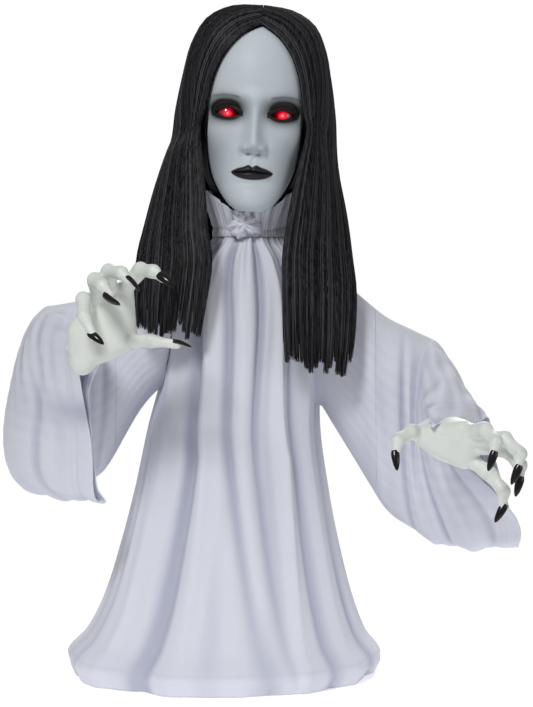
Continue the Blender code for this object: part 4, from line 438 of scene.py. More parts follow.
def swell(x, h, across, height, spread_x, spread_h, rise):
    """A rounded rise, or with a negative rise a hollow, on both sides of the face."""
    total = 0.0
    for centre in {across, -across}:
        total = total + np.exp(-(((x - centre) / spread_x) ** 2 + ((h - height) / spread_h) ** 2) / 2)
    return rise * total


NOSE_RIDGE = (
    (62.0, 0.0, 8.0),
    (67.0, 3.2, 9.0),
    (71.5, 12.5, 10.5),
    (77.0, 17.0, 9.2),
    (86.0, 14.0, 7.2),
    (97.0, 10.6, 6.4),
    (108.0, 7.4, 6.4),
    (118.0, 4.6, 7.4),
    (129.0, 2.6, 10.0),
    (144.0, 0.0, 13.0),
)
FACE_SWELLS = (
    (12.3, 72.0, 3.6, 3.9, 6.4),
    (17.0, 74.0, 2.0, 5.0, -1.6),
    (5.8, 66.6, 2.5, 1.7, -4.6),
    (0.0, 58.0, 1.8, 5.0, -1.1),
    (3.8, 57.0, 1.6, 5.0, 0.6),
    (0.0, 50.0, 24.0, 15.0, 3.4),
    (0.0, 31.0, 15.0, 3.8, -2.6),
    (0.0, 16.0, 16.0, 11.0, 4.4),
    (45.0, 91.0, 12.0, 12.0, 4.2),
    (41.0, 58.0, 11.0, 15.0, -3.2),
    (22.0, 131.0, 14.0, 5.5, 3.0),
    (0.0, 129.0, 7.0, 8.0, 0.8),
    (31.0, 114.0, 13.5, 8.5, -9.0),
    (13.5, 112.0, 4.5, 9.0, -3.4),
    (58.0, 135.0, 9.0, 20.0, -1.5),
    (23.0, 166.0, 19.0, 17.0, 1.2),
)
LIP_HALF = 24.5
LIP_LINE = 44.8
EYE_ACROSS = 32.0
EYE_LEVEL = 113.3
EYE_HALF = 14.2
DOME_RADIUS = 14.0
LIT_RADIUS = 12.0
LID_RADIUS = 15.9
SOCKET_RADIUS = 12.2
lens_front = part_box("eye_lens_left")[0][1] / MM
lens_middle = lens_front + DOME_RADIUS

heights = spaced(
    [(0, 1.2), (10, 1.5), (34, 0.7), (64, 0.8), (82, 1.0), (100, 0.4), (127, 1.1), (140, 1.7), (228, 1.2), (236, 1)]
)
turns = spaced([(0, 0.55), (12, 0.36), (50, 1.4), (100, 1)])
turns = np.concatenate([-turns[:0:-1], turns])
share = (heights / HEAD_HEIGHT)[:, None]
_, front, back = bent_through(HEAD_SECTION_SHARES, share)
reach = np.arccos(
    np.clip(((front + back) / 2 * HEAD_DEPTH + HEAD_SPLIT) / ((back - front) / 2 * HEAD_DEPTH), -1, 1)
)
outer = eased(np.abs(turns), 50, 100)[None, :]
azimuth = np.radians(turns)[None, :] + np.sign(turns)[None, :] * outer * (reach - radians(100))
points = head_point(azimuth, share)
x = points[..., 0]
h = np.broadcast_to(heights[:, None], x.shape)
ridge_rise, ridge_half = bent_through(NOSE_RIDGE, np.clip(h, 62, 144))
forward = ridge_rise * np.exp(-((np.abs(x) / ridge_half) ** 2.3) * 0.9)
for across, height, spread_x, spread_h, rise in FACE_SWELLS:
    forward = forward + swell(x, h, across, height, spread_x, spread_h, rise)

span = np.clip(1 - (x / LIP_HALF) ** 2, 0, 1)
bow = 1.6 * bell(np.abs(x) - 5.0, 3.4) - 1.3 * bell(x, 2.4)
lip_top = LIP_LINE + 7.2 * span**0.75 + bow * span
lip_low = LIP_LINE - 8.8 * span**0.62
line = LIP_LINE + 0.7 * np.cos(x / 5.2) * span
upper = np.clip((h - line) / np.maximum(lip_top - line, 0.3), 0, 1)
lower = np.clip((line - h) / np.maximum(line - lip_low, 0.3), 0, 1)
corner = eased(span, 0.0, 0.45)
forward = forward + corner * np.where(h > line, 3.0 * np.sin(pi * upper**0.7), 3.9 * np.sin(pi * lower**0.72))
forward = forward - 1.9 * bell(h - line, 0.8) * eased(span, 0.0, 0.25)
lip = eased(np.minimum(lip_top - h, h - lip_low), -0.5, 0.6) * (np.abs(x) < LIP_HALF)

side = np.sign(x)
dx = side * x - EYE_ACROSS
dh = h - EYE_LEVEL - 0.06 * dx
centre_y = lens_middle
away = np.sqrt(dx**2 + (h - EYE_LEVEL) ** 2)
surface = -points[..., 1] + forward
lid = -centre_y + np.sqrt(np.clip(LID_RADIUS**2 - away**2, 0, None))
met = (surface + lid + np.sqrt((surface - lid) ** 2 + 2.4)) / 2
surface = np.where(away < 22, met, surface)
almond = np.clip(1 - (dx / EYE_HALF) ** 2, 0, 1)
gap = np.minimum(6.3 * almond**0.85 - dh, dh + 4.4 * almond**0.95)
crease = 9.4 * np.clip(1 - (dx / 18.0) ** 2, 0, 1) ** 0.6
surface = surface - 1.4 * bell(dh - crease, 0.9) * eased(17.0 - np.abs(dx), 0, 5)
surface = surface - 0.5 * bell(dh + 7.6 * np.clip(1 - (dx / 17.0) ** 2, 0, 1), 1.2) * (np.abs(dx) < 16)
inside = eased(gap, 0.0, 0.75) * (almond > 0)
sunk = -centre_y + np.sqrt(np.clip(SOCKET_RADIUS**2 - away**2, 6.0, None))
surface = surface + (sunk - surface) * inside
fade = eased(np.cos(azimuth), 0.12, 0.5)
points[..., 1] = np.where(fade < 1, points[..., 1] * (1 - fade) - surface * fade, -surface)
under_chin = points[0].mean(axis=0)

smoke = 1.7 * np.exp(-((np.abs(dx - 2.0) / 22.0) ** 2.4) - (np.abs(dh - 3.4) / np.where(dh > 3.4, 15.5, 14.0)) ** 2.0)
smoke = np.clip(smoke + 0.7 * bell(gap, 2.4) * (np.abs(dx) < 18), 0, 1)
brow_line = 17.0 + 3.2 * (1 - ((dx - 3.0) / 20.0) ** 2)
brow = bell(dh - brow_line, 1.5) * eased(dx, -17, -11) * eased(24.0 - dx, 0, 9)
# Painted shade: the mask is darkened in the hollows under the cheekbones and beside the nose, where shade falls.
hollow = np.clip(0.5 * swell(x, h, 43.0, 66.0, 11.0, 16.0, 1.0) + 0.5 * swell(x, h, 11.5, 92.0, 3.0, 16.0, 1.0), 0, 1)

face_paint, place = start_finish("face_paint")
smoke_mark, brow_mark, lip_mark, hollow_painted_shade_mark = (place.mark(name) for name in ("smoke", "brow", "lip", "hollow"))
speckle = place.mottle(420.0)
clouds = place.mottle(26.0)
skin = clouds.colour((0.435, 0.485, 0.525, 1), (0.500, 0.550, 0.585, 1))
# Painted shade in the cheek hollows and beside the nose, mixed over the mask's grey-blue.
skin = (hollow_painted_shade_mark * 0.45).colour(skin, (0.22, 0.26, 0.30, 1))
skin = (brow_mark * (0.35 + 0.5 * speckle)).held(0, 1).colour(skin, (0.05, 0.045, 0.045, 1))
skin = (smoke_mark**1.3 * (0.92 + 0.2 * speckle)).held(0, 1).colour(skin, (0.008, 0.005, 0.005, 1))
skin = lip_mark.colour(skin, (0.010, 0.009, 0.011, 1))
end_finish(
    place,
    {"Base Color": skin, "Roughness": 0.46 - 0.12 * lip_mark + 0.1 * speckle, "Specular IOR Level": 0.28},
    bump=speckle + place.mottle(1500.0),
    depth=0.035 * MM,
)
face = lay_sheet(
    "face_mask",
    on_head_axis(np.concatenate([under_chin + (points[:1] - under_chin) * 0.02, points])),
    face_paint,
    marks={
        mark: np.concatenate([values[:1], values])
        for mark, values in (("smoke", smoke), ("brow", brow), ("lip", lip), ("hollow", hollow))
    },
)
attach(face, "head")
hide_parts("face_shell")
dress(black_moulding, "black_plastic", "head_back_shell")

# Eyes: clear red moulded domes behind the almond openings, each lit from behind by its diode, so the middle
# burns pink-white and the rim falls to a dark red.
lens_glow, place = start_finish("lens_glow")
from_axis = place.mark("from_axis")
sparkle = place.add("ShaderNodeTexVoronoi", inputs={"Vector": place, "Scale": 700.0})
level = (from_axis + 0.12 * sparkle - 0.05).held(0, 1)
glow = level.add(
    "ShaderNodeValToRGB",
    {
        "stops": [
            (0.0, (1.0, 0.42, 0.40, 1)),
            (0.08, (1.0, 0.13, 0.15, 1)),
            (0.19, (0.72, 0.006, 0.02, 1)),
            (0.38, (0.30, 0.0, 0.010, 1)),
            (0.60, (0.05, 0.0, 0.002, 1)),
            (1.0, (0.002, 0.0, 0.0, 1)),
        ]
    },
    {"Fac": level},
)
end_finish(
    place,
    {
        "Base Color": level.colour((0.30, 0.004, 0.01, 1), (0.012, 0.0, 0.0, 1)),
        "Roughness": 0.08,
        "Coat Weight": 0.6,
        "Emission Color": glow,
        "Emission Strength": 2.0,
    },
    bump=sparkle,
    depth=0.05 * MM,
)
for word, way in (("left", 1), ("right", -1)):
    polar = np.linspace(0.002, pi / 2, 40)[:, None]
    around = np.linspace(0, 2 * pi, 72, endpoint=False)[None, :]
    dome = spots(
        way * EYE_ACROSS + DOME_RADIUS * np.sin(polar) * np.cos(around),
        lens_middle - DOME_RADIUS * np.cos(polar),
        EYE_LEVEL + DOME_RADIUS * np.sin(polar) * np.sin(around),
    )
    spread = np.hypot(dome[..., 0] - way * EYE_ACROSS, dome[..., 2] - EYE_LEVEL) / LIT_RADIUS
    eye = lay_sheet(f"eye_dome_{word}", on_head_axis(dome), lens_glow, closed=True, marks={"from_axis": spread})
    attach(eye, "head")
    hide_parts(f"eye_lens_{word}")


# Hair: a net cap sewn with long straight black fibre, parted in the middle, that falls in front of both
# shoulders and down the back. It is cut blunt, its ends are ragged where locks have parted, and where it rests
# on the shoulders it stays behind when the head turns.
CAP_GROW = 10.7
HAIR_GROW = 15.2
HAIR_LENGTH = 440.0
HAIRLINE = (
    (0.08, 98.0), (0.18, 84.0), (0.30, 68.0), (0.40, 58.0), (0.567, 53.0),
    (0.73, 43.0), (0.85, 25.0), (0.937, 4.0), (0.97, 0.0), (1.0, 0.0),
)
FRONT_FALL_SHARES = (
    (0.42, 0.122, -0.143, 0.236, 0.036),
    (0.53, 0.106, -0.168, 0.262, 0.009),
    (0.64, 0.094, -0.190, 0.280, -0.045),
    (0.73, 0.096, -0.208, 0.290, -0.140),
    (0.85, 0.104, -0.217, 0.290, -0.182),
    (0.96, 0.116, -0.222, 0.280, -0.200),
)
BACK_FALL_SHARES = (
    (0.42, 0.205, 0.212, 0.76),
    (0.53, 0.222, 0.214, 0.70),
    (0.64, 0.240, 0.216, 0.61),
    (0.80, 0.246, 0.224, 0.54),
    (0.93, 0.250, 0.230, 0.52),
)
HEAD_MIDDLE = np.array([0.0, 0.0, 130.0])
PART_LINE = 3.0
UNDER_ROWS = 90
UNDER_COLUMNS = 70


def on_head(ways, grow):
    """Where each way out from the middle of the head meets the head grown by so many millimetres."""
    low = np.zeros(ways.shape[:-1])
    high = np.full(ways.shape[:-1], 200.0)
    for _ in range(24):
        reach = (low + high) / 2
        point = HEAD_MIDDLE + ways * reach[..., None]
        middle = HEAD_HEIGHT / 2
        share = (middle + (point[..., 2] - middle) / (1 + grow / middle)) / HEAD_HEIGHT
        half_width, front, back = bent_through(HEAD_SECTION_SHARES, np.clip(share, 0, 1))
        half_width = half_width * HEAD_WIDTH + grow
        front = front * HEAD_DEPTH - grow
        back = back * HEAD_DEPTH + grow
        across = (point[..., 1] - (front + back) / 2) / ((back - front) / 2)
        within = (share < 1) & (share > 0) & ((point[..., 0] / half_width) ** 2 + across**2 < 1)
        low = np.where(within, reach, low)
        high = np.where(within, high, reach)
    return HEAD_MIDDLE + ways * low[..., None]


def unit(vectors):
    return vectors / np.maximum(np.linalg.norm(vectors, axis=-1, keepdims=True), 1e-9)


def strand_guides(group, t):
    """Guide points of strands at shares t across a group of hair, from the parting to the ends."""
    side = -1.0 if group == "right" else 1.0
    levels = []
    if group == "back":
        end_azimuth = pi + radians(78.0) * (2 * t - 1)
        root_y = 18.0 + 44.0 * np.cos((2 * t - 1) * pi / 2)
        root_x = PART_LINE + np.sign(0.5 - t) * 0.4
        grow = HAIR_GROW + 0.0 * t
        loose = 12.0 * np.abs(2 * t - 1) ** 2
    else:
        end_azimuth = radians(60.0 if group == "right" else 56.0) + radians(44.0) * t
        root_y = -62.0 + 82.0 * t
        root_x = PART_LINE + side * 0.4
        grow = 5.0 + (HAIR_GROW - 5.0) * eased(t, 0.0, 0.3)
        loose = 17.0 * eased(t, 0.35, 1.0)
    root = spots(root_x, root_y, 240.0 - 0.004 * root_y**2)
    root_way = unit(root - HEAD_MIDDLE)
    end = head_point(end_azimuth, np.full_like(t, 0.43), 0.0)
    if group == "right":
        end[..., 0] *= -1
    end_way = unit(end - HEAD_MIDDLE)
    angle = np.arccos(np.clip((root_way * end_way).sum(-1), -1, 1))[..., None]
    for p in np.linspace(0, 1, 8):
        way = (np.sin((1 - p) * angle) * root_way + np.sin(p * angle) * end_way) / np.sin(angle)
        if group != "back":
            way = way + spots(0.10 * side * (1 - t) ** 2 * sin(pi * p), 0.0, 0.0)
        rise = grow * (0.62 + 0.38 * eased(p, 0, 0.3)) + (HAIR_GROW - grow) * eased(p, 0.75, 1.0) * 0.6
        spring = 5.0 * eased(np.abs(2 * t - 1) if group == "back" else t, 0.4, 0.9) * eased(p, 0.8, 1.0)
        levels.append(on_head(unit(way), rise + loose * eased(p, 0.4, 1.0) + spring))
    if group == "back":
        for height, half_width, depth, spread in BACK_FALL_SHARES:
            azimuth = pi + pi / 2 * spread * (2 * t - 1)
            x = half_width * HAIR_LENGTH * np.sin(azimuth)
            y = -depth * HAIR_LENGTH * np.cos(azimuth)
            levels.append(spots(x, y, HEAD_HEIGHT - height * HAIR_LENGTH))
    else:
        end_share = 0.92 if group == "right" else 1.0
        for height, inner_x, inner_y, outer_x, outer_y in FRONT_FALL_SHARES:
            bulge = np.sin(pi * t)
            start_x = inner_x + (0.018 * (height < 0.7) if group == "right" else 0.0)
            x = (start_x + (outer_x - start_x) * t + 0.015 * bulge) * HAIR_LENGTH * side
            y = (inner_y + (outer_y - inner_y) * t**1.5 - 0.012 * bulge) * HAIR_LENGTH
            z = HEAD_HEIGHT - height * end_share * HAIR_LENGTH
            levels.append(spots(x, y, z))
    return np.stack(levels)


def along_guides(guides, v):
    """Smooth points along guides at shares v of their length, one row of v for each strand or one for all."""
    count = len(guides)
    at = np.clip(v, 0, 1) * (count - 1)
    i = np.clip(at.astype(int), 0, count - 2)
    t = (at - i)[..., None]
    strands = np.arange(guides.shape[1])
    p0 = guides[np.maximum(i - 1, 0), strands]
    p1 = guides[i, strands]
    p2 = guides[i + 1, strands]
    p3 = guides[np.minimum(i + 2, count - 1), strands]
    return 0.5 * (
        2 * p1 + (p2 - p0) * t + (2 * p0 - 5 * p1 + 4 * p2 - p3) * t**2 + (3 * p1 - p0 - 3 * p2 + p3) * t**3
    )


hair_black, place = start_finish("hair_black")
# The tone mark is partly the real strand-to-strand tone of the fibre and partly painted highlight: the lighter
# strands stand for highlight streaks on the black hair.
tone = place.mark("tone")
fibres_and_sheen = place.stretched(1.0, 1.0, 0.02).mottle(420.0, detail=3.0, roughness=0.7)
# Lighter strands and the streaky fibre mottle lift the black base colour as painted highlight and sheen.
shade = (tone**3 * 0.9 + fibres_and_sheen * 1.5 - 0.66).held(0, 1)
end_finish(
    place,
    {
        "Base Color": shade.colour((0.0010, 0.0010, 0.0012, 1), (0.062, 0.062, 0.072, 1)),
        "Roughness": 0.34 + 0.2 * fibres_and_sheen,
        "Specular IOR Level": 0.12,
    },
    bump=fibres_and_sheen,
    depth=0.5 * MM,
)

seed = np.random.default_rng(11)
for group, locks, strands, steps in (("right", 17, 880, 38), ("left", 17, 880, 38), ("back", 26, 1000, 34)):
    sheet_t = np.linspace(0.0, 1.0, UNDER_COLUMNS)
    guides = strand_guides(group, sheet_t)
    rows = []
    for v in np.linspace(0.0, 0.94, UNDER_ROWS):
        point = along_guides(guides, np.full_like(sheet_t, v))
        outward = unit(point - HEAD_MIDDLE * (1, 1, 1.0 - 0.9 * eased(v, 0.4, 0.7)))
        outward = unit(outward * (1, 1, 1 - eased(v, 0.45, 0.6)))
        ripple = 0.7 * np.cos(2 * pi * locks * sheet_t) * eased(v, 0.1, 0.5)
        rows.append(point - outward * (2.6 - ripple)[:, None])
    under = lay_sheet(
        f"hair_under_{group}",
        on_head_axis(np.array(rows)),
        hair_black,
        thickness=0.8 * MM,
        marks={"tone": np.zeros((UNDER_ROWS, UNDER_COLUMNS))},
    )
    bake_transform(under)
    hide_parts(f"hair_{group}")

    t = (np.arange(strands) + seed.uniform(0, 1, strands)) / strands
    lock = np.minimum((t * locks).astype(int), locks - 1)
    lock_middle = (lock + 0.5) / locks
    short = seed.uniform(0.0, 1.0, strands) ** 9
    lock_length = seed.uniform(-0.034, 0.0, locks)[lock] + seed.uniform(-0.010, 0.0, strands) - 0.07 * short
    lock_pull = seed.uniform(0.05, 0.5, locks)[lock]
    lock_depth = seed.uniform(-0.8, 1.2, locks)[lock]
    depth = seed.uniform(-2.0, 1.6, strands)
    sway = seed.uniform(-1.0, 1.0, strands)
    lock_sway = seed.uniform(-1.0, 1.0, locks)[lock]
    width = seed.uniform(0.8, 1.9, strands)
    shift = np.zeros(strands)
    rows = []
    for number in range(steps):
        v = number / (steps - 1) * (1 + lock_length)
        gather = lock_pull * eased(v, 0.55, 1.0) ** 1.5
        t_here = np.clip(t + (lock_middle - t) * gather, 0, 1)
        guides = strand_guides(group, t_here)
        rows.append(along_guides(guides, v))
    path = np.array(rows)
    v = np.linspace(0, 1, steps)[:, None]
    down = unit(np.gradient(path, axis=0))
    outward = path - HEAD_MIDDLE
    outward[..., 2] *= 1 - eased(v, 0.45, 0.6)
    outward = unit(outward)
    across = unit(np.cross(down, outward))
    outward = unit(np.cross(across, down))
    loose = eased(v, 0.35, 1.0)
    path = path + outward * ((depth + lock_depth * loose) * (0.5 + 0.8 * loose))[..., None]
    swing = (sway * 1.4 * np.sin(5.0 * v + 6 * sway) + lock_sway * 1.8 * np.sin(4.0 * v + 5 * lock_sway)) * loose
    path = path + across * swing[..., None]
    taper = np.clip((1 - v) / 0.05, 0.35, 1.0) ** 0.7
    half = (width * taper / 2)[..., None]
    mesh_points = np.stack([path - across * half, path + outward * half * 0.75, path + across * half], 2)
    index = np.arange(steps * strands * 3).reshape(steps, strands, 3)
    quads = np.stack([index[:-1, :, :-1], index[:-1, :, 1:], index[1:, :, 1:], index[1:, :, :-1]], -1)
    # Each strand's tone, its lighter strands standing in for painted highlight streaks.
    strand_tones_and_highlights = np.broadcast_to(seed.uniform(0, 1, strands)[None, :, None], (steps, strands, 3))
    piece = add_piece(f"hair_locks_{group}", on_head_axis(mesh_points), quads, hair_black, {"tone": strand_tones_and_highlights})
    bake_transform(piece)
    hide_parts(f"hair_{group}")

cap_share = np.concatenate([np.linspace(0.10, 0.9, 60), np.linspace(0.91, 1.0, 24)])[:, None]
cap_t = np.linspace(0.0, 1.0, 120)[None, :]
line = np.radians(bent_through(HAIRLINE, cap_share)[0])
cap_azimuth = line + (2 * pi - 2 * line) * cap_t
edge = np.minimum(cap_t, 1 - cap_t) * (2 * pi - 2 * line)
cap_grow = np.where(cap_share > 0.95, CAP_GROW - 2.0, 1.8 + (CAP_GROW - 3.8) * eased(edge, 0.0, 0.35))
cap = lay_sheet(
    "wig_net",
    on_head_axis(head_point(cap_azimuth, cap_share + 0 * cap_t, cap_grow)),
    hair_black,
    thickness=1.0 * MM,
    marks={"tone": np.zeros((len(cap_share), cap_t.size))},
)
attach(cap, "head")
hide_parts("wig_cap")


# Hands: hollow soft vinyl castings, pale and faintly green, with bony knuckles and long black lacquered nails.
# Each is pushed on its forearm's peg and swivels there.
HAND_LENGTH = 190.0 * MM
RIGHT_HAND_SHARES = {
    "palm": (
        (0.02, -0.13, 0.04), (0.06, -0.15, 0.00), (0.20, -0.17, 0.05), (0.30, -0.21, 0.10),
        (0.28, -0.20, 0.30), (0.28, -0.19, 0.38), (0.10, -0.18, 0.27), (0.02, -0.15, 0.15),
    ),
    "thumb": ((0.21, -0.17, 0.07), (0.33, -0.25, 0.10), (0.45, -0.31, 0.10), (0.60, -0.34, 0.08)),
    "index": ((0.28, -0.19, 0.38), (0.39, -0.34, 0.51), (0.47, -0.47, 0.50), (0.53, -0.54, 0.46)),
    "middle": ((0.21, -0.20, 0.38), (0.21, -0.36, 0.50), (0.29, -0.51, 0.49), (0.34, -0.56, 0.44)),
    "ring": ((0.14, -0.20, 0.34), (0.13, -0.36, 0.45), (0.18, -0.49, 0.42), (0.23, -0.56, 0.36)),
    "little": ((0.08, -0.18, 0.27), (0.06, -0.32, 0.34), (0.07, -0.44, 0.25), (0.13, -0.49, 0.13)),
}
LEFT_HAND_SHARES = {
    "palm": (
        (-0.04, -0.15, -0.10), (0.06, -0.15, -0.10), (-0.06, -0.20, -0.16), (-0.12, -0.24, -0.14),
        (0.11, -0.40, -0.11), (0.14, -0.40, -0.15), (0.15, -0.36, -0.21), (0.12, -0.31, -0.27),
        (0.00, -0.20, -0.23),
    ),
    "thumb": ((-0.09, -0.20, -0.13), (-0.19, -0.31, -0.12), (-0.27, -0.39, -0.16), (-0.29, -0.44, -0.25)),
    "index": ((0.12, -0.41, -0.11), (0.21, -0.56, -0.09), (0.26, -0.67, -0.15), (0.24, -0.71, -0.23)),
    "middle": ((0.15, -0.40, -0.15), (0.32, -0.56, -0.14), (0.40, -0.65, -0.22), (0.38, -0.69, -0.31)),
    "ring": ((0.16, -0.37, -0.20), (0.34, -0.49, -0.21), (0.41, -0.58, -0.29), (0.40, -0.62, -0.38)),
    "little": ((0.14, -0.32, -0.27), (0.26, -0.41, -0.36), (0.33, -0.46, -0.45), (0.32, -0.485, -0.55)),
}
NAIL_WAY_SHARES = {
    "right": {
        "thumb": (1.0, -0.25, -0.25), "index": (0.75, -0.5, -0.6), "middle": (0.7, -0.5, -0.75),
        "ring": (0.8, -0.5, -0.5), "little": (0.8, -0.5, -0.6),
    },
    "left": {
        "thumb": (0.1, -0.35, -1.0), "index": (-0.35, -0.15, -1.0), "middle": (-0.4, -0.1, -0.9),
        "ring": (-0.25, -0.1, -0.9), "little": (-0.35, -0.1, -0.6),
    },
}
FINGER_RADIUS_SHARES = (0.052, 0.046, 0.041, 0.028)
PALM_RADIUS_SHARE = 0.066
WRISTS = {
    "left": (Vector((0.21315, -0.15759, 0.32407)), Vector((-0.0200, -0.9551, -0.2957))),
    "right": (Vector((-0.19393, -0.15658, 0.38255)), Vector((0.2472, -0.9490, -0.1959))),
}
WRIST_RADIUS = 14.5 * MM
WRIST_STUB = 30.0 * MM
WRIST_SINK = {"left": 4.5 * MM, "right": 0.0}
WRIST_SLIMMING = {"left": 0.66, "right": 1.0}
KNUCKLE_WAYS = {"left": Vector((0, -0.2, 1.0)), "right": Vector((-0.3, 0.9, 0.3))}
CASTING_GRAIN = 1.35 * MM
CREASE_DEPTH = 0.45 * MM
NAIL_LENGTH = 23.0 * MM
NAIL_WIDTH = 9.6 * MM
NAIL_THICKNESS = 1.1 * MM
NAIL_ROOT = 6.0 * MM
NAIL_RISE = 4.6 * MM


def add_flesh(shape, balls):
    """The hull round some balls of (centre, radius): one stretch of a finger or the palm."""
    stretch = bmesh.new()
    for centre, radius in balls:
        bmesh.ops.create_uvsphere(
            stretch, u_segments=18, v_segments=12, radius=radius, matrix=Matrix.Translation(centre)
        )
    hull = bmesh.ops.convex_hull(stretch, input=stretch.verts[:])
    spare = set(hull["geom_interior"]) | set(hull["geom_unused"])
    bmesh.ops.delete(stretch, geom=[v for v in spare if isinstance(v, bmesh.types.BMVert)], context="VERTS")
    mesh = bpy.data.meshes.new("stretch")
    stretch.to_mesh(mesh)
    stretch.free()
    shape.from_mesh(mesh)
    bpy.data.meshes.remove(mesh)


pale_vinyl, place = start_finish("pale_vinyl_skin")
clouds = place.mottle(38.0)
pores = place.mottle(700.0, detail=2.0)
# The fold mark is painted shade: the vinyl is darkened in the creases at the finger joints.
crease_shade_mark = place.mark("fold")
vinyl_with_crease_shade = clouds.colour((0.60, 0.635, 0.60, 1), (0.71, 0.735, 0.70, 1))
vinyl_with_crease_shade = (crease_shade_mark * 0.55).colour(vinyl_with_crease_shade, (0.40, 0.43, 0.40, 1))
end_finish(
    place,
    {"Base Color": vinyl_with_crease_shade, "Roughness": 0.40 + 0.12 * pores, "Specular IOR Level": 0.5},
    bump=pores * 0.7 + clouds * 0.3,
    depth=0.12 * MM,
)
nail_lacquer, place = start_finish("nail_lacquer")
rim = place.mark("rim")
dust = place.mottle(240.0)
end_finish(
    place,
    {
        "Base Color": (rim**3).held(0, 1).colour((0.003, 0.003, 0.005, 1), (0.060, 0.026, 0.013, 1)),
        "Roughness": 0.14 + 0.12 * dust,
        "Specular IOR Level": 0.3,
        "Coat Weight": 0.15,
    },
    bump=dust,
    depth=0.03 * MM,
)

for word, shares in (("left", LEFT_HAND_SHARES), ("right", RIGHT_HAND_SHARES)):
    wrist, along = WRISTS[word]
    shape = bmesh.new()
    palm = [(Vector(point) * HAND_LENGTH, PALM_RADIUS_SHARE * HAND_LENGTH) for point in shares["palm"]]
    add_flesh(shape, palm)
    heel = sum((centre for centre, _ in palm), Vector()) / len(palm)
    sunk = Vector((0, 0, -WRIST_SINK[word]))
    bones = [(along * WRIST_STUB * share + sunk, WRIST_RADIUS * WRIST_SLIMMING[word]) for share in (0.5, 1.0)]
    add_flesh(shape, bones)
    add_flesh(shape, [bones[1], (heel, WRIST_RADIUS * 0.98)])
    joints = []
    for finger in ("thumb", "index", "middle", "ring", "little"):
        points = [Vector(point) * HAND_LENGTH for point in shares[finger]]
        radii = [share * HAND_LENGTH * 0.98 for share in FINGER_RADIUS_SHARES]
        for i in range(3):
            start, end = points[i], points[i + 1]
            waist = (radii[i] + radii[i + 1]) / 2 * 0.86
            add_flesh(shape, [(start, radii[i] * 1.04), (start.lerp(end, 0.45), waist)])
            add_flesh(shape, [(start.lerp(end, 0.45), waist), (end, radii[i + 1] * (1.10 if i < 2 else 1.0))])
            if i:
                joints.append((start, (end - points[i - 1]).normalized(), radii[i]))
        if finger != "thumb":
            back = KNUCKLE_WAYS[word].normalized() * radii[0] * 0.42
            add_flesh(
                shape,
                [(points[0] + back, radii[0] * 0.66), (points[0].lerp(heel, 0.75) + back, radii[0] * 0.5)],
            )
    mesh = bpy.data.meshes.new(f"hand_skin_{word}")
    shape.to_mesh(mesh)
    shape.free()
    hand = bpy.data.objects.new(f"hand_skin_{word}", mesh)
    bpy.context.collection.objects.link(hand)
    skin = hand.modifiers.new("skin", "REMESH")
    skin.mode = "VOXEL"
    skin.voxel_size = CASTING_GRAIN
    soften = hand.modifiers.new("soften", "SMOOTH")
    soften.factor = 0.6
    soften.iterations = 7
    settle(hand)
    mesh = hand.data
    count = len(mesh.vertices)
    at = np.empty(count * 3)
    normal = np.empty(count * 3)
    mesh.vertices.foreach_get("co", at)
    mesh.vertex_normals.foreach_get("vector", normal)
    at, normal = at.reshape(-1, 3), normal.reshape(-1, 3)
    sink = np.zeros(count)
    for centre, way, radius in joints:
        offset = at - np.array(centre)
        lengthwise = offset @ np.array(way)
        near = bell(((offset**2).sum(1) - lengthwise**2) ** 0.5, radius * 1.6, 4)
        for step, deep in ((-2.6, 0.6), (0.0, 1.0), (2.4, 0.7)):
            sink += deep * near * bell(lengthwise / MM - step, 0.75) * (np.abs(lengthwise) < radius * 2)
    sink = np.clip(sink, 0, 1)
    at = at - normal * (sink * CREASE_DEPTH)[:, None]
    mesh.vertices.foreach_set("co", (at + np.array(wrist)).ravel())
    # The crease depth is stored as the fold mark, which the vinyl finish paints as shade.
    layer = mesh.attributes.new("fold", "FLOAT", "POINT")
    layer.data.foreach_set("value", sink.astype(np.float32))
    mesh.materials.clear()
    mesh.materials.append(pale_vinyl)
    mesh.shade_smooth()
    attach(hand, f"hand_{word}")
    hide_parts(f"hand_{word}")

    for finger, way in NAIL_WAY_SHARES[word].items():
        way = Vector(way).normalized()
        points = [Vector(point) * HAND_LENGTH + wrist for point in shares[finger]]
        bone = (points[3] - points[2]).normalized()
        across = bone.cross(way)
        if across.length < 0.2:
            across = bone.cross(Vector((0, 0, 1)))
        across.normalize()
        top = across.cross(way).normalized()
        if top.dot(bone) < 0:
            top = -top
        if word == "left" or finger in ("thumb", "little"):
            top = Vector((0, -0.35, 1.0)) if finger == "thumb" and word == "right" else Vector((0, -1.0, 0.3))
            top = (top - way * top.dot(way)).normalized()
            across = way.cross(top).normalized()
        u = np.linspace(-1, 1, 21)[None, :]
        v = np.linspace(0, 1, 34)[:, None]
        half = NAIL_WIDTH / 2 * (eased(v, -0.28, 0.22) * (1 - v**2.4)) ** 0.62
        arch = -(u**2) * half * 0.42
        droop = -(v**2) * 2.6 * MM + 1.2 * MM * np.sin(pi * v)
        root = points[3] - way * NAIL_ROOT + top * NAIL_RISE
        nail_points = (
            np.array(root)
            + np.array(across) * (u * half)[..., None]
            + np.array(way) * (v * NAIL_LENGTH + 0 * u)[..., None]
            + np.array(top) * (arch + droop)[..., None]
        )
        rim = np.abs(u) ** 3 + 0 * v
        nail = lay_sheet(
            f"nail_{finger}_{word}", nail_points, nail_lacquer, thickness=NAIL_THICKNESS, marks={"rim": rim}
        )
        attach(nail, f"hand_{word}")


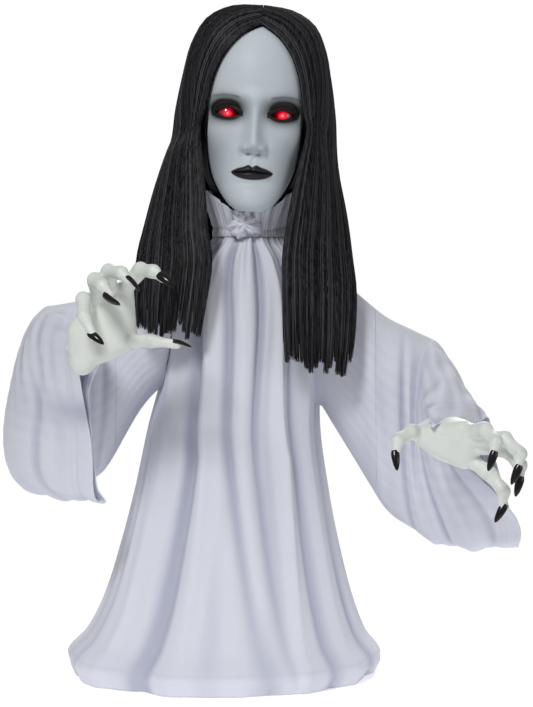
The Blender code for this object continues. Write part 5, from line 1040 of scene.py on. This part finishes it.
# Gown: thin white polyester, slightly sheer, cut in two flared panels, gathered into the neck and hanging to the
# floor, where the turned hem rests. The panels are sewn at the sides, and the armholes take the wide sleeves.
CLOTH = 1.2 * MM
GOWN_HEIGHT = 519.0 * MM
GOWN_WIDTH = 376.0 * MM
GOWN_FOLD = 11.0 * MM
HEM_LIFT = 1.0 * MM
HEM_STITCH = 24.0 * MM
HEM_PULL = 0.7 * MM
GOWN_ROW_SHARES = (
    (0.000, -0.088, 0.480, 0.478, 0.90),
    (0.035, -0.085, 0.497, 0.490, 1.00),
    (0.085, -0.078, 0.440, 0.425, 1.00),
    (0.170, -0.070, 0.388, 0.368, 0.95),
    (0.290, -0.064, 0.342, 0.322, 0.83),
    (0.420, -0.058, 0.303, 0.276, 0.71),
    (0.560, -0.052, 0.270, 0.240, 0.60),
    (0.690, -0.028, 0.249, 0.214, 0.46),
    (0.800, -0.009, 0.244, 0.194, 0.36),
    (0.890, -0.002, 0.232, 0.174, 0.27),
    (0.950, 0.000, 0.190, 0.148, 0.18),
    (0.982, 0.000, 0.137, 0.127, 0.12),
    (1.000, 0.000, 0.117, 0.117, 0.06),
)
FOLD_WAVES = ((7, 0.6, 0.40), (10, 2.2, 0.45), (4, 1.3, 0.15))
# Each fold is (degrees from the front at the neck, middle and hem, half width in degrees, and its rise in
# millimetres at the neck, middle and hem)
GOWN_FOLDS = (
    (-50, -27, -31, 6.0, -5.0, -11.0, -9.0),
    (-36, -18, -18, 4.5, 4.0, 5.0, 3.0),
    (-22, -1, 18, 4.5, -7.0, -6.0, -2.0),
    (-9, 6, 24, 6.0, 4.0, 2.0, 2.0),
    (6, 16, 28, 3.2, -8.0, -4.0, -2.0),
    (18, 36, 31, 2.8, 4.0, 5.0, 4.0),
    (31, 45, 44, 4.4, -6.0, -5.0, -4.0),
    (60, 58, 57, 6.0, 3.0, 4.0, 5.0),
    (84, 78, 74, 7.0, -3.0, -5.0, -6.0),
    (-68, -50, -52, 7.0, 4.0, 5.0, 6.0),
    (-86, -74, -72, 6.0, -3.0, -5.0, -5.0),
    (108, 104, 100, 7.0, 3.0, 5.0, 6.0),
    (130, 128, 124, 6.0, -5.0, -7.0, -7.0),
    (152, 150, 149, 7.0, 5.0, 6.0, 6.0),
    (176, 172, 173, 6.0, -6.0, -7.0, -6.0),
    (-158, -158, -160, 7.0, 5.0, 6.0, 6.0),
    (-134, -136, -138, 6.0, -5.0, -7.0, -7.0),
    (-110, -108, -106, 7.0, 3.0, 5.0, 6.0),
)


def gown_point(angle, share):
    """Points of the gown's outside; angle 0 is +X and a quarter turn is the back."""
    centre, half_width, half_depth, fold = bent_through(GOWN_ROW_SHARES, share)
    wave = sum(weight * np.cos(count * angle + start) for count, start, weight in FOLD_WAVES)
    rise = GOWN_FOLD * fold * wave * 0.4
    from_front = (np.degrees(angle) + 90 + 180) % 360 - 180
    neck, middle, hem = ((share - 0.5) * 2).clip(0, 1), 1 - np.abs(share - 0.5) * 2, ((0.5 - share) * 2).clip(0, 1)
    for at_neck, at_middle, at_hem, spread, up_neck, up_middle, up_hem in GOWN_FOLDS:
        line = at_neck * neck + at_middle * middle + at_hem * hem
        amount = 1.5 * (up_neck * neck + up_middle * middle + up_hem * hem)
        apart = (from_front - line + 180) % 360 - 180
        rise = rise + amount * MM * bell(np.abs(apart), spread, 1.5) * (1 - 0.7 * eased(share, 0.95, 1.0))
    gathers = np.cos(46 * angle + 2.5 * np.sin(3 * angle)) * eased(share, 0.70, 0.99) ** 1.6
    rise = rise + gathers * 0.8 * MM
    rise = rise + 0.5 * MM * np.sin(23 * angle + 9 * share + 3 * np.sin(5 * angle))
    x = centre * GOWN_WIDTH + (half_width * GOWN_WIDTH + rise) * np.cos(angle)
    y = (half_depth * GOWN_WIDTH + rise) * np.sin(angle)
    return spots(x, y, HEM_LIFT + share * (GOWN_HEIGHT - HEM_LIFT))


# The fold depth feeds the fold mark, which the cloth finish paints as shade in the valleys.
def in_folds(points, reach=14, deep=5.0 * MM, axis=1):
    """How deep each point of a closed wall lies in a fold, from 0 on a ridge to 1 in a valley."""
    out = np.linalg.norm(points - points.mean(axis=1, keepdims=True), axis=-1)
    index = np.arange(out.shape[axis])
    last = len(index) - 1
    near = [np.clip(index + step, 0, last) if axis == 0 else index + step for step in range(-reach, reach + 1)]
    around = sum(np.take(out, at, axis=axis, mode="wrap") for at in near) / len(near)
    return np.clip((around - out) / deep, 0, 1)


def woven_finish(name, dark, pale, thread=2600.0):
    """Thin white polyester: crinkled crepe, fine threads and a soft sheen where it turns away, with painted shade in
    its folds.
    """
    material, place = start_finish(name)
    crinkle = place.stretched(1.0, 1.0, 0.55).mottle(160.0, detail=5.0, roughness=0.65)
    soft = place.mottle(11.0)
    threads = place.stretched(1.0, 1.0, 0.12).mottle(thread * 0.4, detail=2.0)
    cross = place.stretched(0.12, 0.12, 1.0).mottle(thread * 0.4, detail=2.0)
    seam = place.mark("seam")
    shade = (0.4 * soft + 0.3 * crinkle + 0.3 * threads - 0.05).held(0, 1)
    # Painted shade: the cloth is darkened toward a grey-lavender in its fold valleys.
    fold = place.mark("fold")
    cloth_colour_with_fold_shade = (fold * 0.62).colour(shade.colour(dark, pale), (0.40, 0.42, 0.54, 1))
    cloth_colour_with_fold_shade = (seam * 0.5).held(0, 1).colour(cloth_colour_with_fold_shade, (0.60, 0.62, 0.72, 1))
    crepe = place.stretched(1.0, 1.0, 0.5).mottle(520.0, detail=2.0, roughness=0.7)
    weave = 0.45 * crinkle + 0.35 * crepe + 0.1 * threads + 0.1 * cross
    raised = place.add("ShaderNodeBump", inputs={"Height": weave, "Distance": 0.55 * MM})
    cloth = place.add(
        "ShaderNodeBsdfPrincipled",
        inputs={
            "Base Color": cloth_colour_with_fold_shade,
            "Roughness": 0.72 + 0.16 * crinkle,
            "Sheen Weight": 0.2,
            "Sheen Roughness": 0.45,
            "Specular IOR Level": 0.25,
            "Normal": raised,
        },
    )
    through = place.add("ShaderNodeBsdfTranslucent", inputs={"Color": (0.84, 0.855, 0.93, 1)})
    sheer = place.add("ShaderNodeMixShader", inputs={0: 0.27 + 0.08 * crinkle, 1: cloth, 2: through})
    place.add("ShaderNodeOutputMaterial", inputs={"Surface": sheer})
    return material


white_crepe = woven_finish("white_crepe", (0.77, 0.785, 0.86, 1), (0.86, 0.87, 0.93, 1))
angles = np.linspace(0, 2 * pi, 300, endpoint=False)[None, :]
shares = np.concatenate([np.linspace(0, 0.06, 18), np.linspace(0.068, 0.93, 116), np.linspace(0.936, 1.0, 16)])
shares = shares[:, None]
points = gown_point(angles, shares)
hem_line = bell(points[..., 2] - HEM_STITCH, 1.0 * MM)
pull = hem_line * HEM_PULL
points[..., :2] *= 1 - (pull / np.hypot(points[..., 0], points[..., 1]))[..., None]
side_seam = bell(np.minimum(np.abs(np.sin(angles)) * 180, 90), 1.2) + 0 * shares
# The gown's fold mark is painted shade in the valleys of its folds.
gown = lay_sheet(
    "gown_panels",
    points,
    white_crepe,
    closed=True,
    thickness=CLOTH,
    marks={"seam": np.clip(hem_line + 0.6 * side_seam, 0, 1), "fold": in_folds(points)},
)
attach(gown, "frame")
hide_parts("gown_body")


# Sleeves: two wide bells of the same cloth, sewn into the armholes and open at the wrist with a stitched hem.
# The left one's near edge is drawn forward under the hand and its mouth hangs open outward. The right one hangs
# nearly shut at the cuff and is turned in toward the body.
SHOULDERS = {"left": (0.085, 0.0, 0.455), "right": (-0.085, 0.0, 0.455)}
ELBOWS = {"left": (0.21645, 0.0, 0.37286), "right": (-0.23472, 0.0, 0.41488)}
ARM_REACH = 320.0 * MM
ELBOW_SHARE = 155.0 / 320.0
SLEEVE_SHARES = {
    "left": (
        (0.00, 0.000, 0.100, 0.422, 0.125, 0.00, 0.00),
        (0.13, 0.000, 0.084, 0.534, 0.150, 0.00, 0.00),
        (0.28, 0.000, 0.058, 0.653, 0.175, 0.05, 0.00),
        (0.40, 0.006, 0.068, 0.680, 0.200, 0.15, 0.00),
        (0.50, 0.030, 0.075, 0.678, 0.225, 0.28, 0.02),
        (0.66, 0.055, 0.072, 0.640, 0.240, 0.40, 0.12),
        (0.88, 0.060, 0.066, 0.545, 0.230, 0.44, 0.26),
    ),
    "right": (
        (0.00, 0.000, 0.094, 0.297, 0.119, 0.00, 0.00),
        (0.14, 0.000, 0.069, 0.394, 0.144, 0.00, 0.00),
        (0.30, 0.000, 0.058, 0.603, 0.169, 0.06, 0.00),
        (0.42, 0.006, 0.066, 0.625, 0.182, 0.22, 0.00),
        (0.50, 0.020, 0.072, 0.619, 0.188, 0.50, 0.00),
        (0.66, 0.000, 0.088, 0.594, 0.170, 0.92, -0.03),
        (0.88, -0.040, 0.098, 0.556, 0.132, 1.20, -0.07),
    ),
}
# The sleeve ends at this share of the arm's reach and is sewn together at the other. Its hem is turned and
# stitched twice, at so many millimetres from the edge
SLEEVE_END = 0.88
SLEEVE_SEAM = 0.24
CUFF_STITCHES = (22.0, 17.0)
# At the cuff the near and far edges close in by a share of the width and the top narrows by another share. The
# top is drawn forward over the wrist, from one height on the ring, and dropped or flattened on it
CUFF_CLOSING = {"left": 0.0, "right": 0.72}
CUFF_FAR_CLOSING = {"left": 0.0, "right": 0.90}
CUFF_PINCH = {"left": 0.0, "right": 0.12}
CUFF_DRAWN = {"left": 104.0 * MM, "right": 24.0 * MM}
CUFF_DRAWN_FROM = {"left": 0.05, "right": 0.2}
CUFF_DROP = {"left": 11.0 * MM, "right": -3.0 * MM}
CUFF_DROP_REACH = {"left": (0.5, 0.95), "right": (-0.1, 0.6)}
CUFF_FLATTENING = {"left": 0.45, "right": 0.0}
HEM_SWING = {"left": 0.0, "right": 34.0 * MM}
# Each sleeve fold is (place, its slant, half width, rise in millimetres, and the middle and half reach round
# the sleeve in turns from the back edge, a quarter being the top)
SLEEVE_FOLDS = {
    "left": (
        (0.40, 0.10, 0.020, -5.0, 0.55, 0.20),
        (0.47, 0.16, 0.026, 5.0, 0.58, 0.22),
        (0.56, 0.20, 0.022, -6.0, 0.60, 0.18),
        (0.66, 0.16, 0.034, 5.0, 0.62, 0.17),
        (0.76, 0.10, 0.022, -5.0, 0.60, 0.15),
        (0.24, 0.20, 0.040, 4.0, 0.55, 0.20),
        (0.36, -0.10, 0.030, -5.0, 0.95, 0.22),
        (0.55, -0.12, 0.034, 6.0, 0.95, 0.22),
        (0.70, -0.12, 0.026, -6.0, 0.95, 0.20),
    ),
    "right": (
        (0.30, 0.14, 0.028, -5.0, 0.55, 0.20),
        (0.42, 0.10, 0.034, 5.0, 0.58, 0.20),
        (0.56, 0.18, 0.024, -6.0, 0.58, 0.20),
        (0.68, 0.10, 0.030, 6.0, 0.60, 0.20),
        (0.80, 0.12, 0.018, -4.0, 0.62, 0.18),
        (0.36, -0.10, 0.030, -6.0, 0.95, 0.22),
        (0.52, -0.12, 0.036, 6.0, 0.95, 0.22),
        (0.70, -0.10, 0.026, -6.0, 0.95, 0.20),
    ),
}


def sleeve_points(word, places, turns):
    """Rings of a sleeve's outside at shares of the way from shoulder to wrist."""
    side = 1 if word == "left" else -1
    shoulder, elbow = np.array(SHOULDERS[word]), np.array(ELBOWS[word])
    wrist = np.array(WRISTS[word][0])
    shift, cover, hang, half_width, heading, swing = bent_through(SLEEVE_SHARES[word], places[:, None])
    upper = np.clip(places / ELBOW_SHARE, None, 1)[:, None, None]
    lower = np.clip((places - ELBOW_SHARE) / (1 - ELBOW_SHARE), 0, None)[:, None, None]
    axis = shoulder + (elbow - shoulder) * upper + (wrist - elbow) * lower
    turn = heading * pi / 2
    across = np.stack([side * np.sin(turn), np.cos(turn), 0 * turn], -1)
    half_height = (cover + hang) / 2 * ARM_REACH
    centre = axis + across * (shift * ARM_REACH)[..., None]
    angle = turns[None, :] * 2 * pi
    low = (1 - np.sin(angle)) / 2
    place = places[:, None]
    pucker = 1 + 0.07 * place * low * np.cos(5 * angle + 3 * place)
    outward = side * swing * ARM_REACH * low**2 * (3 - 2 * low) * (1 - 0.6 * side * np.cos(angle))
    rise = 0.0
    for start, slant, spread, amount, middle, extent in SLEEVE_FOLDS[word]:
        around = (turns[None, :] - middle + 0.5) % 1 - 0.5
        line = start + slant * around
        rise = rise + amount * MM * bell(around, extent, 4) * bell(np.abs(place - line), spread, 1.8)
    rise = rise * eased(place, 0.04, 0.20)
    small = np.sin(26 * angle + 7 * np.sin(2 * angle) + 14 * place) * 0.25 * MM * eased(place, 0.02, 0.1)
    wrinkle = np.sin(62 * place + 6 * np.sin(2 * angle + 9 * place)) * np.sin(5 * angle + 20 * place)
    wrinkle = wrinkle * bell(low, 0.4) * eased(place, 0.45, 0.62)
    rise = rise + small + wrinkle * 3.2 * MM
    around_way = across * np.cos(angle)[..., None]
    flatter = 1 - CUFF_FLATTENING[word] * eased(place, 0.55, 0.85)
    upright = np.where(np.sin(angle) > 0, np.abs(np.sin(angle)) ** flatter, np.sin(angle))
    near_side = eased(-side * np.cos(angle), 0.0, 1.0)
    far_side = eased(side * np.cos(angle), 0.0, 0.6)
    closing = CUFF_CLOSING[word] * near_side * (1 - 0.35 * low)
    closing = closing + CUFF_FAR_CLOSING[word] * far_side * eased(low, 0.05, 0.42)
    closing = closing * eased(place, 0.5, SLEEVE_END)
    pinch = CUFF_PINCH[word] * (1 - low) ** 0.8 * eased(place, 0.48, 0.80)
    square = np.maximum(np.abs(np.cos(angle)), 0.02) ** -0.45 - 1
    square = square * near_side if word == "right" else square * 0.2
    square = 1 + square * eased(low, 0.45, 0.85) * eased(place, 0.42, 0.75)
    around_way = around_way * ((1 - closing) * (1 - pinch) * square)[..., None]
    points = (
        centre
        + around_way * ((half_width * ARM_REACH * pucker + rise)[..., None])
        + np.array([0, 0, 1.0]) * ((half_height + rise) * upright + cover * ARM_REACH - half_height)[..., None]
    )
    swung = low**2 * eased(place, 0.30, 0.52) * (1 - eased(place, 0.70, SLEEVE_END)) * (0.4 + 0.6 * near_side)
    points[..., 0] += outward + side * HEM_SWING[word] * swung
    ahead = (wrist - elbow) / np.linalg.norm(wrist - elbow)
    drawn = eased(np.sin(angle), CUFF_DRAWN_FROM[word], 0.95) * eased(place, 0.45, SLEEVE_END)
    points = points + ahead * (CUFF_DRAWN[word] * drawn)[..., None]
    dropped = eased(np.sin(angle), *CUFF_DROP_REACH[word]) * eased(place, 0.78, SLEEVE_END)
    points[..., 2] -= CUFF_DROP[word] * dropped
    return points


for word in ("left", "right"):
    side = 1 if word == "left" else -1
    turns = np.linspace(0, 1, 200, endpoint=False)
    places = np.linspace(0.0, SLEEVE_END, 150)
    points = sleeve_points(word, places, turns)
    root = points[0].copy()
    angle_guess = np.linspace(-1.25, 1.25, 900)
    for i in range(len(turns)):
        share = (root[i, 2] - HEM_LIFT) / (GOWN_HEIGHT - HEM_LIFT)
        line = gown_point((pi / 2 * (1 - side) + side * angle_guess)[None, :], np.full((1, 900), share))[0]
        near = np.argmin(np.abs(line[:, 1] - root[i, 1]))
        root[i, 0] = line[near, 0]
    tucked = [root - np.array([side * 3.0 * MM, 0, 0]), root + np.array([side * 1.0 * MM, 0, 0])]
    lean = eased(places, 0.0, 0.12)[:, None]
    keep = side * points[..., 0] > side * root[None, :, 0] + 1.0 * MM
    points[..., 0] = np.where(keep, points[..., 0], root[None, :, 0] + side * (1.0 * MM + 8.0 * MM * lean))
    points = np.concatenate([np.array(tucked), points[1:]])
    places = np.concatenate([[-0.01, 0.0], places[1:]])
    from_edge = (SLEEVE_END - places[:, None]) * ARM_REACH / MM + 0 * turns[None, :]
    hem = bell(from_edge - CUFF_STITCHES[0], 0.9) + bell(from_edge - CUFF_STITCHES[1], 0.7)
    root_seam = bell(places[:, None] * ARM_REACH, 1.6 * MM) + 0 * turns[None, :]
    under_seam = bell(turns[None, :] - 0.75, 0.004) + 0 * places[:, None]
    seam = np.clip(0.8 * hem + root_seam + 0.6 * under_seam, 0, 1)
    if side < 0:
        points = points[:, ::-1]
        seam = seam[:, ::-1]
    # Fold depth of the sleeve, painted as shade in its valleys.
    fold = np.clip(in_folds(points, 7, 3.0 * MM, axis=0) + in_folds(points, 4, 3.0 * MM), 0, 1)
    cut = int(np.searchsorted(places, SLEEVE_SEAM))
    for part, rows, bodies in (
        ("upper", slice(0, cut + 1), ("frame", f"upper_arm_{word}")),
        ("lower", slice(cut, None), (f"upper_arm_{word}", f"forearm_{word}")),
    ):
        marks = {"seam": seam[rows], "fold": fold[rows]}
        piece = lay_sheet(f"sleeve_{part}_{word}", points[rows], white_crepe, True, CLOTH, marks)
        shoulder, elbow, wrist = (np.array(spot) for spot in (SHOULDERS[word], ELBOWS[word], WRISTS[word][0]))
        if part == "upper":
            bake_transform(piece)
        else:
            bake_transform(piece)
        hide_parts(f"sleeve_{word}")
        flat = (0.46, 0.08) if part == "upper" else (0.56, 0.22)


# Collar: a doubled frill of sheer cloth on a drawn band, standing round the neck and tied in front with its
# own ends in a small crushed knot.
collar_sheer = woven_finish("collar_sheer", (0.79, 0.80, 0.87, 1), (0.88, 0.89, 0.94, 1))
COLLAR_BASE = 519.6 * MM
COLLAR_HEIGHT = 56.0 * MM
COLLAR_FLARE = 17.0 * MM
COLLAR_RADIUS = 44.6 * MM
FRILL_THICKNESS = 0.7 * MM
turns = np.linspace(0, 2 * pi, 640, endpoint=False)[None, :]
rises = np.linspace(0, 1, 34)[:, None]
for layer, count, inset, tall in (("outer", 23, 0.0, 1.0), ("inner", 19, 3.4 * MM, 0.93)):
    from_front = np.abs(np.sin((turns + pi / 2) / 2))
    lift = 0.10 + 0.90 * eased(from_front, 0.10, 0.60)
    top = COLLAR_HEIGHT * tall * (1 - 0.52 * (1 - lift))
    flare = (COLLAR_FLARE - inset) * np.clip(rises - 0.18, 0, None) ** 1.4
    phase = count * turns + 1.7 * np.sin(4 * turns + inset / MM)
    pleat = np.cos(phase) * (0.8 + 3.4 * rises**1.2) * MM
    fine = np.cos(61 * turns + 2 * np.sin(7 * turns)) * 0.5 * MM
    band = -1.4 * MM * bell(rises - 0.20, 0.05)
    radius = COLLAR_RADIUS - inset + flare + pleat * np.minimum(1, rises + 0.35) + fine + band
    height = COLLAR_BASE + top * rises + 1.6 * MM * np.sin(phase + 1.2) * rises**2
    points = spots(radius * np.cos(turns), radius * np.sin(turns), height)
    # The frill's fold mark is painted shade in its pleats.
    frill = lay_sheet(
        f"collar_frill_{layer}",
        points,
        collar_sheer,
        closed=True,
        thickness=FRILL_THICKNESS,
        marks={"seam": bell(rises - 0.2, 0.03) + 0 * turns, "fold": in_folds(points, 10, 3.0 * MM)},
    )
    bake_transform(frill)
    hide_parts("collar_ruffle")

KNOT_PLACE = (-7.0, -47.5, 534.0)
KNOT_HALF_WIDTH = 17.5
KNOT_HALF_HEIGHT = 15.5
spokes = np.linspace(0, 2 * pi, 220, endpoint=False)[None, :]
outs = np.linspace(0.02, 1, 40)[:, None]
outline = 1 + 0.17 * np.cos(3 * spokes + 0.9) + 0.12 * np.cos(5 * spokes + 2.4) + 0.05 * np.cos(13 * spokes)
crush = 2.3 * np.cos(5 * spokes + 4.0 * outs + 1.0) + 1.5 * np.cos(9 * spokes - 5.0 * outs)
crush = crush + 0.6 * np.cos(23 * spokes)
puff = 10.0 * np.sqrt(1 - 0.96 * outs**2) + crush * outs * (1.25 - outs) * 1.6
# The knot's fold mark paints shade into its crushed valleys.
knot = lay_sheet(
    "collar_knot",
    spots(
        (KNOT_PLACE[0] + KNOT_HALF_WIDTH * outs * outline * np.cos(spokes)) * MM,
        (KNOT_PLACE[1] - puff) * MM,
        (KNOT_PLACE[2] + KNOT_HALF_HEIGHT * outs * outline * np.sin(spokes)) * MM,
    ),
    collar_sheer,
    closed=True,
    thickness=FRILL_THICKNESS,
    marks={"seam": 0.0 * spokes + 0.0 * outs, "fold": np.clip(-crush / 4.0, 0, 1) * eased(outs, 0.1, 0.5)},
)
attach(knot, "frame")
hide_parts("collar_ruffle")
